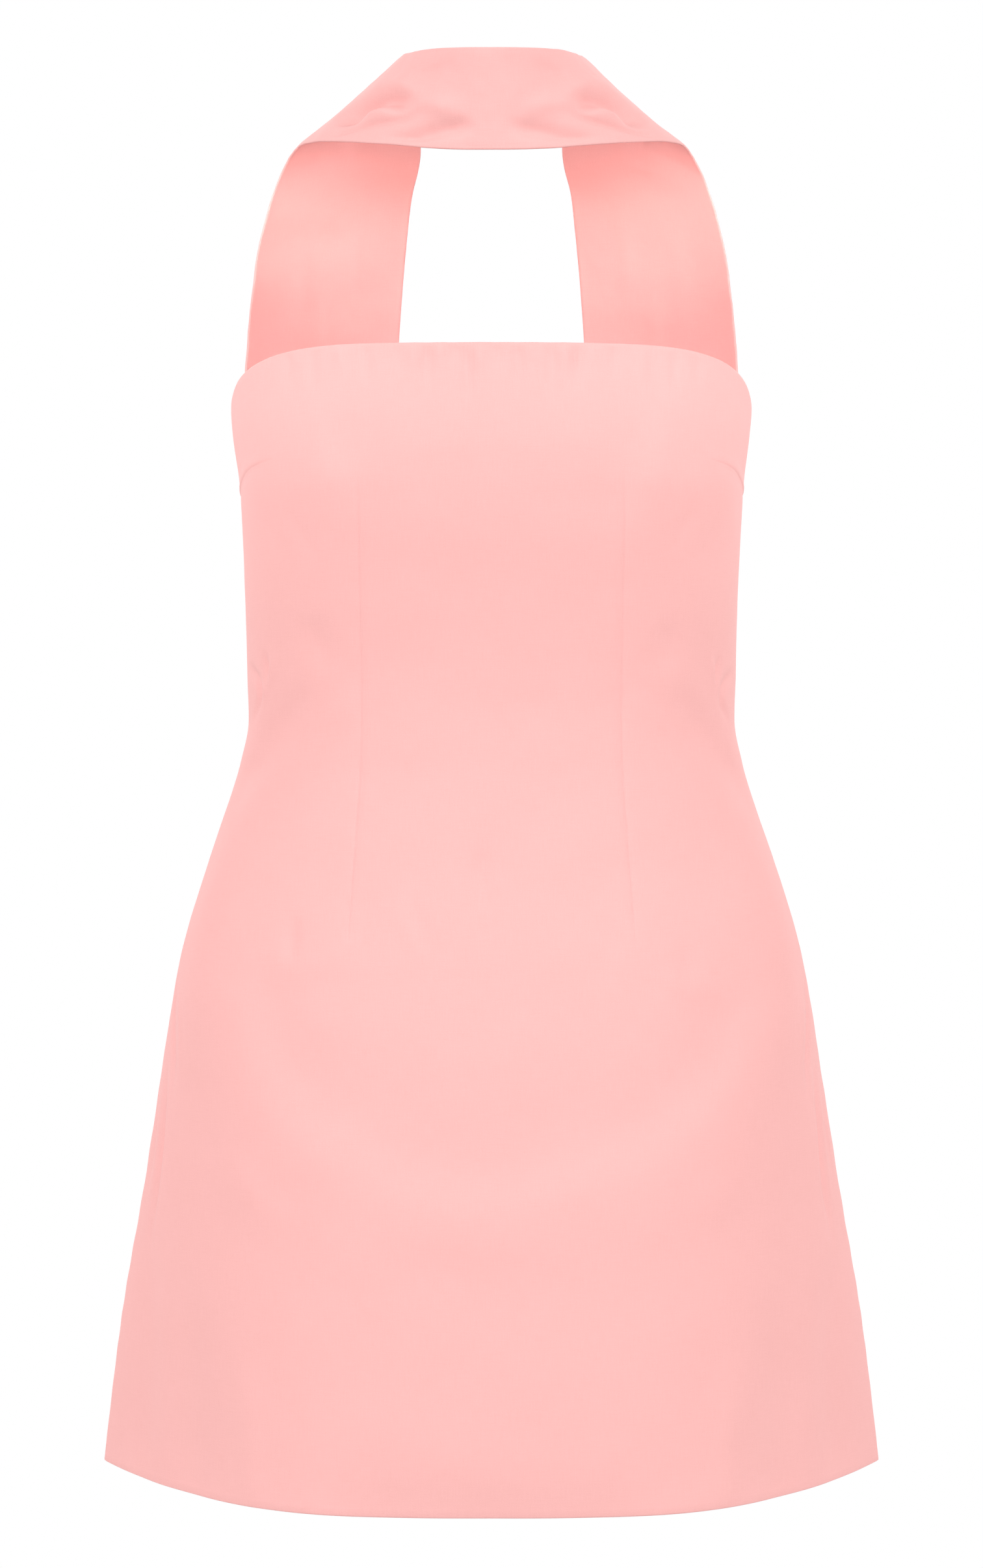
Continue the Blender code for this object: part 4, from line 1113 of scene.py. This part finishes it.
def stitch_lines(line, out, stitch):
    """Stitches along a line of points, each a short thread that dips into the cloth at its ends."""
    step = np.linalg.norm(np.diff(line, axis=0), axis=1)
    places = np.concatenate(([0.0], np.cumsum(step)))
    stitches = []
    start = stitch.gap
    while start + stitch.length < places[-1]:
        at = np.linspace(start, start + stitch.length, len(STITCH_ARCH))
        middle = np.stack([np.interp(at, places, line[:, k]) for k in range(3)], axis=1)
        away = np.stack([np.interp(at, places, out[:, k]) for k in range(3)], axis=1)
        stitches.append(middle + away * (stitch.lift * STITCH_ARCH)[:, None])
        start += stitch.length + stitch.gap
    return stitches


def back_face(x, height, depth):
    """Points of the back at x, depth inside its outer face, and the directions inwards."""
    x, height = np.broadcast_arrays(x, height)
    bearing = 180 - np.degrees(np.arcsin(x / section_at(height).half_width))
    out = form_normal(bearing, height, False)
    return form_point(bearing, height, False) - out * depth, -out


def zip_sewing(finish):
    """The rows of stitches that hold each tape to the turned edge of its back panel."""
    height = np.linspace(*ZIP_STITCHED)
    lines = []
    for side in (1, -1):
        for x in ZIP_STITCH_ROWS:
            lines += stitch_lines(*back_face(side * x, height, ZIP_STITCH_DEPTH), ZIP_STITCH)
    return tubes("zip_stitches", lines, ZIP_STITCH.radius, finish)


def strap_sewing(finish):
    """Two rows of stitches across each sewn end of the band, seen on the inside of the back."""
    x = np.linspace(*STRAP_STITCHED)
    lines = []
    for side in (1, -1):
        for level in STRAP_STITCH_ROWS:
            lines += stitch_lines(*back_face(side * x, level, STRAP_STITCH_DEPTH), STRAP_STITCH)
    return tubes("strap_stitches", lines, STRAP_STITCH.radius, finish)


def hem_sewing(hems, finish):
    """Blind stitches that hold the turned hem on the inside, one short pick every 8 mm."""
    lines = []
    stitched = slice(HEM_FREE_POINTS, -HEM_FREE_POINTS)
    for place, inwards in hems:
        lines += stitch_lines(place[stitched], inwards[stitched], HEM_STITCH)
    return tubes("hem_stitches", lines, HEM_STITCH.radius, finish)


def zip_coil(finish):
    """Two nylon coils that mesh behind the slit."""
    turns = round((COIL_TOP - COIL_END) / COIL_PITCH)
    angle = np.linspace(0, turns * 2 * math.pi, turns * COIL_STEPS + 1)
    lines = []
    for side in (1, -1):
        height = COIL_TOP + (COIL_END - COIL_TOP) * angle / angle[-1]
        if side < 0:
            height = height + COIL_PITCH / 2
        face = form_point(np.full_like(height, 180.0), height, False)[:, 1]
        x = side * (COIL_MIDDLE + COIL_HALF_WIDTH * np.cos(angle))
        y = face - COIL_DEPTH + COIL_HALF_DEPTH * np.sin(angle)
        lines.append(np.stack((x, y, height), axis=1))
    return tubes("zip_coil", lines, COIL_RADIUS, finish)


# ================================================================ the dress
EDGE_ROUND = 0.18  # of the zip's slider and pull


def dress_pieces():
    crepe = woven_crepe()
    thread = sewing_thread()

    levels = row_levels(BUST_DART_LEVEL + BUST_DART_ROWS)
    half = half_panel(levels, True, FRONT_DART, FRONT_CENTRE_COLUMNS, FRONT_SIDE_COLUMNS)
    table = WAIST_CREASES + BUST_CREASES + HIP_CREASES + SWAG_CREASES + SIDE_CREASES
    creases = on_cloth(table, True) + pucker_creases(TOP_PUCKERS, True)
    places = joined_places(half)
    front, hem = cloth_panel("front_cloth", places, FRONT_DART, creases, True, FRONT_SEED, crepe)
    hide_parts("front_panel")

    levels = row_levels()
    half = half_panel(levels, False, BACK_DART, BACK_CENTRE_COLUMNS, BACK_SIDE_COLUMNS)
    backs, hems = [], [hem]
    for name, node, side in (
        ("back_cloth_left", "back_panel_left", 1),
        ("back_cloth_right", "back_panel_right", -1),
    ):
        places = half if side > 0 else mirrored_places(half)
        creases = on_cloth(BACK_CREASES, False, side) + pucker_creases(BACK_PUCKERS, False, side)
        seed = BACK_SEED + side
        back, hem = cloth_panel(name, places, BACK_DART, creases, False, seed, crepe)
        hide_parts(node)
        backs.append(back)
        hems.append(hem)

    band = scarf_band(crepe)
    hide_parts("scarf_band")

    pieces = [front, *backs, band, zip_sewing(thread), strap_sewing(thread), hem_sewing(hems, thread)]
    coil = zip_coil(nylon_coil())
    for piece in (*pieces, coil):
        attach(piece, "dress")


def frame_finishes():
    """Finishes for the zip's tapes, slider and pull, which keep the frame's own shapes."""
    tape, paint = zip_tape_weave(), enamel()
    for name, finish in (
        ("zip_tape_left", tape),
        ("zip_tape_right", tape),
        ("zip_slider", paint),
        ("zip_pull", paint),
    ):
        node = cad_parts[name]
        node.data.materials.clear()
        node.data.materials.append(finish)
    for name in ("zip_slider", "zip_pull"):
        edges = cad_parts[name].modifiers.new("soft_edges", "BEVEL")
        edges.width = EDGE_ROUND * MM
        edges.segments = 2
        edges.limit_method = "ANGLE"


# ================================================================ the studio
# Places here are in metres on the frame's own axes, angles in degrees and light in watts.
CAMERA_DISTANCE = 2.5
CAMERA_HEIGHT = -0.4197
PHOTO_HEIGHT_PIXELS = 2411
METRES_PER_PIXEL = 0.0004  # at the object's middle plane
FLOOR_HEIGHT = -1.40
FLOOR_RADIUS = 2.1
ROOM_LIGHT = 0.45  # strength of the white surroundings, which look fully white themselves
CLOTH_GLOW = (1.0, 0.80, 0.75)

# Large soft lights all round at one reach and height, the front pair the strongest.
LIGHT_REACH = 3.2
LIGHT_HEIGHT = 1.15
LIGHT_SIZE = (2.2, 1.7)
LIGHT_AIM = (0.0, 0.0, -0.4)
RoundLight = namedtuple("RoundLight", "name azimuth watts")
ROUND_LIGHTS = [
    RoundLight("soft_light_left", -51, 88.5),
    RoundLight("soft_light_right", 51, 88.5),
    RoundLight("rear_light_left", -150, 46.0),
    RoundLight("rear_light_right", 150, 46.0),
]

# Small lights: what the cloth throws back on the inner faces of the straps, from a wide and low
# lamp under the front of the band, and on their outer edges, and the sides of the bust, which catch
# more light than the sides below. Those off the middle have a twin on -X.
SmallLight = namedtuple("SmallLight", "name place aim size watts spread colour")
SMALL_LIGHTS = [
    SmallLight(
        "strap_light", (0.0, -0.045, -0.058), (0.0, 0.06, -0.060), (0.46, 0.012), 0.089, 70, CLOTH_GLOW
    ),
    SmallLight(
        "strap_edge_light", (-0.03, -0.06, -0.074), (0.145, 0.05, -0.092), (0.04, 0.02), 0.014, 52,
        CLOTH_GLOW,
    ),
    SmallLight(
        "bust_light", (0.36, -0.36, -0.10), (0.125, -0.06, -0.170), (0.06, 0.06), 0.011, 40, WHITE[:3]
    ),
]


def area_light(name, place, aim, size, watts):
    light = bpy.data.lights.new(name, "AREA")
    light.shape = "RECTANGLE"
    light.size, light.size_y = size
    light.energy = watts
    lamp = bpy.data.objects.new(name, light)
    lamp.location = place
    lamp.visible_camera = False
    lamp.rotation_euler = (Vector(aim) - Vector(place)).to_track_quat("-Z", "Y").to_euler()
    bpy.context.scene.collection.objects.link(lamp)
    return light


def lights():
    for row in ROUND_LIGHTS:
        turn = math.radians(row.azimuth)
        place = (LIGHT_REACH * math.sin(turn), -LIGHT_REACH * math.cos(turn), LIGHT_HEIGHT)
        area_light(row.name, place, LIGHT_AIM, LIGHT_SIZE, row.watts)
    for row in SMALL_LIGHTS:
        single = row.aim[0] == 0
        for ending, side in [("", 1)] if single else [("_left", -1), ("_right", 1)]:
            place, aim = [Vector((side * x, y, z)) for x, y, z in (row.place, row.aim)]
            light = area_light(row.name + ending, place, aim, row.size, row.watts)
            light.spread = math.radians(row.spread)
            light.color = row.colour


def camera():
    lens = bpy.data.cameras.new("camera")
    lens.sensor_width = 36.0
    half_height = PHOTO_HEIGHT_PIXELS * METRES_PER_PIXEL / 2
    lens.lens = lens.sensor_width / 2 / (half_height / CAMERA_DISTANCE)
    eye = bpy.data.objects.new("camera", lens)
    eye.location = (0.0, -CAMERA_DISTANCE, CAMERA_HEIGHT)
    eye.rotation_euler = (math.radians(90), 0.0, 0.0)
    bpy.context.scene.collection.objects.link(eye)
    bpy.context.scene.camera = eye


def surroundings():
    """White surroundings that give less light than they show, and a plain pale floor."""
    world = bpy.data.worlds.new("white_studio")
    bpy.context.scene.world = world
    bpy.context.scene.view_settings.view_transform = "Standard"
    world.use_nodes = True
    sky = Graph(world.node_tree)
    seen = sky.node("ShaderNodeLightPath", output="Is Camera Ray")
    background = sky.tree.nodes["Background"]
    sky.feed(background.inputs["Color"], WHITE)
    sky.feed(background.inputs["Strength"], seen * (1.0 - ROOM_LIGHT) + ROOM_LIGHT)

    bpy.ops.mesh.primitive_circle_add(
        vertices=96, radius=FLOOR_RADIUS, fill_type="NGON", location=(0.0, 0.0, FLOOR_HEIGHT)
    )
    floor = bpy.context.object
    floor.name = "floor"
    floor.data.materials.append(plain_floor())


dress_pieces()
frame_finishes()
camera()
surroundings()
lights()
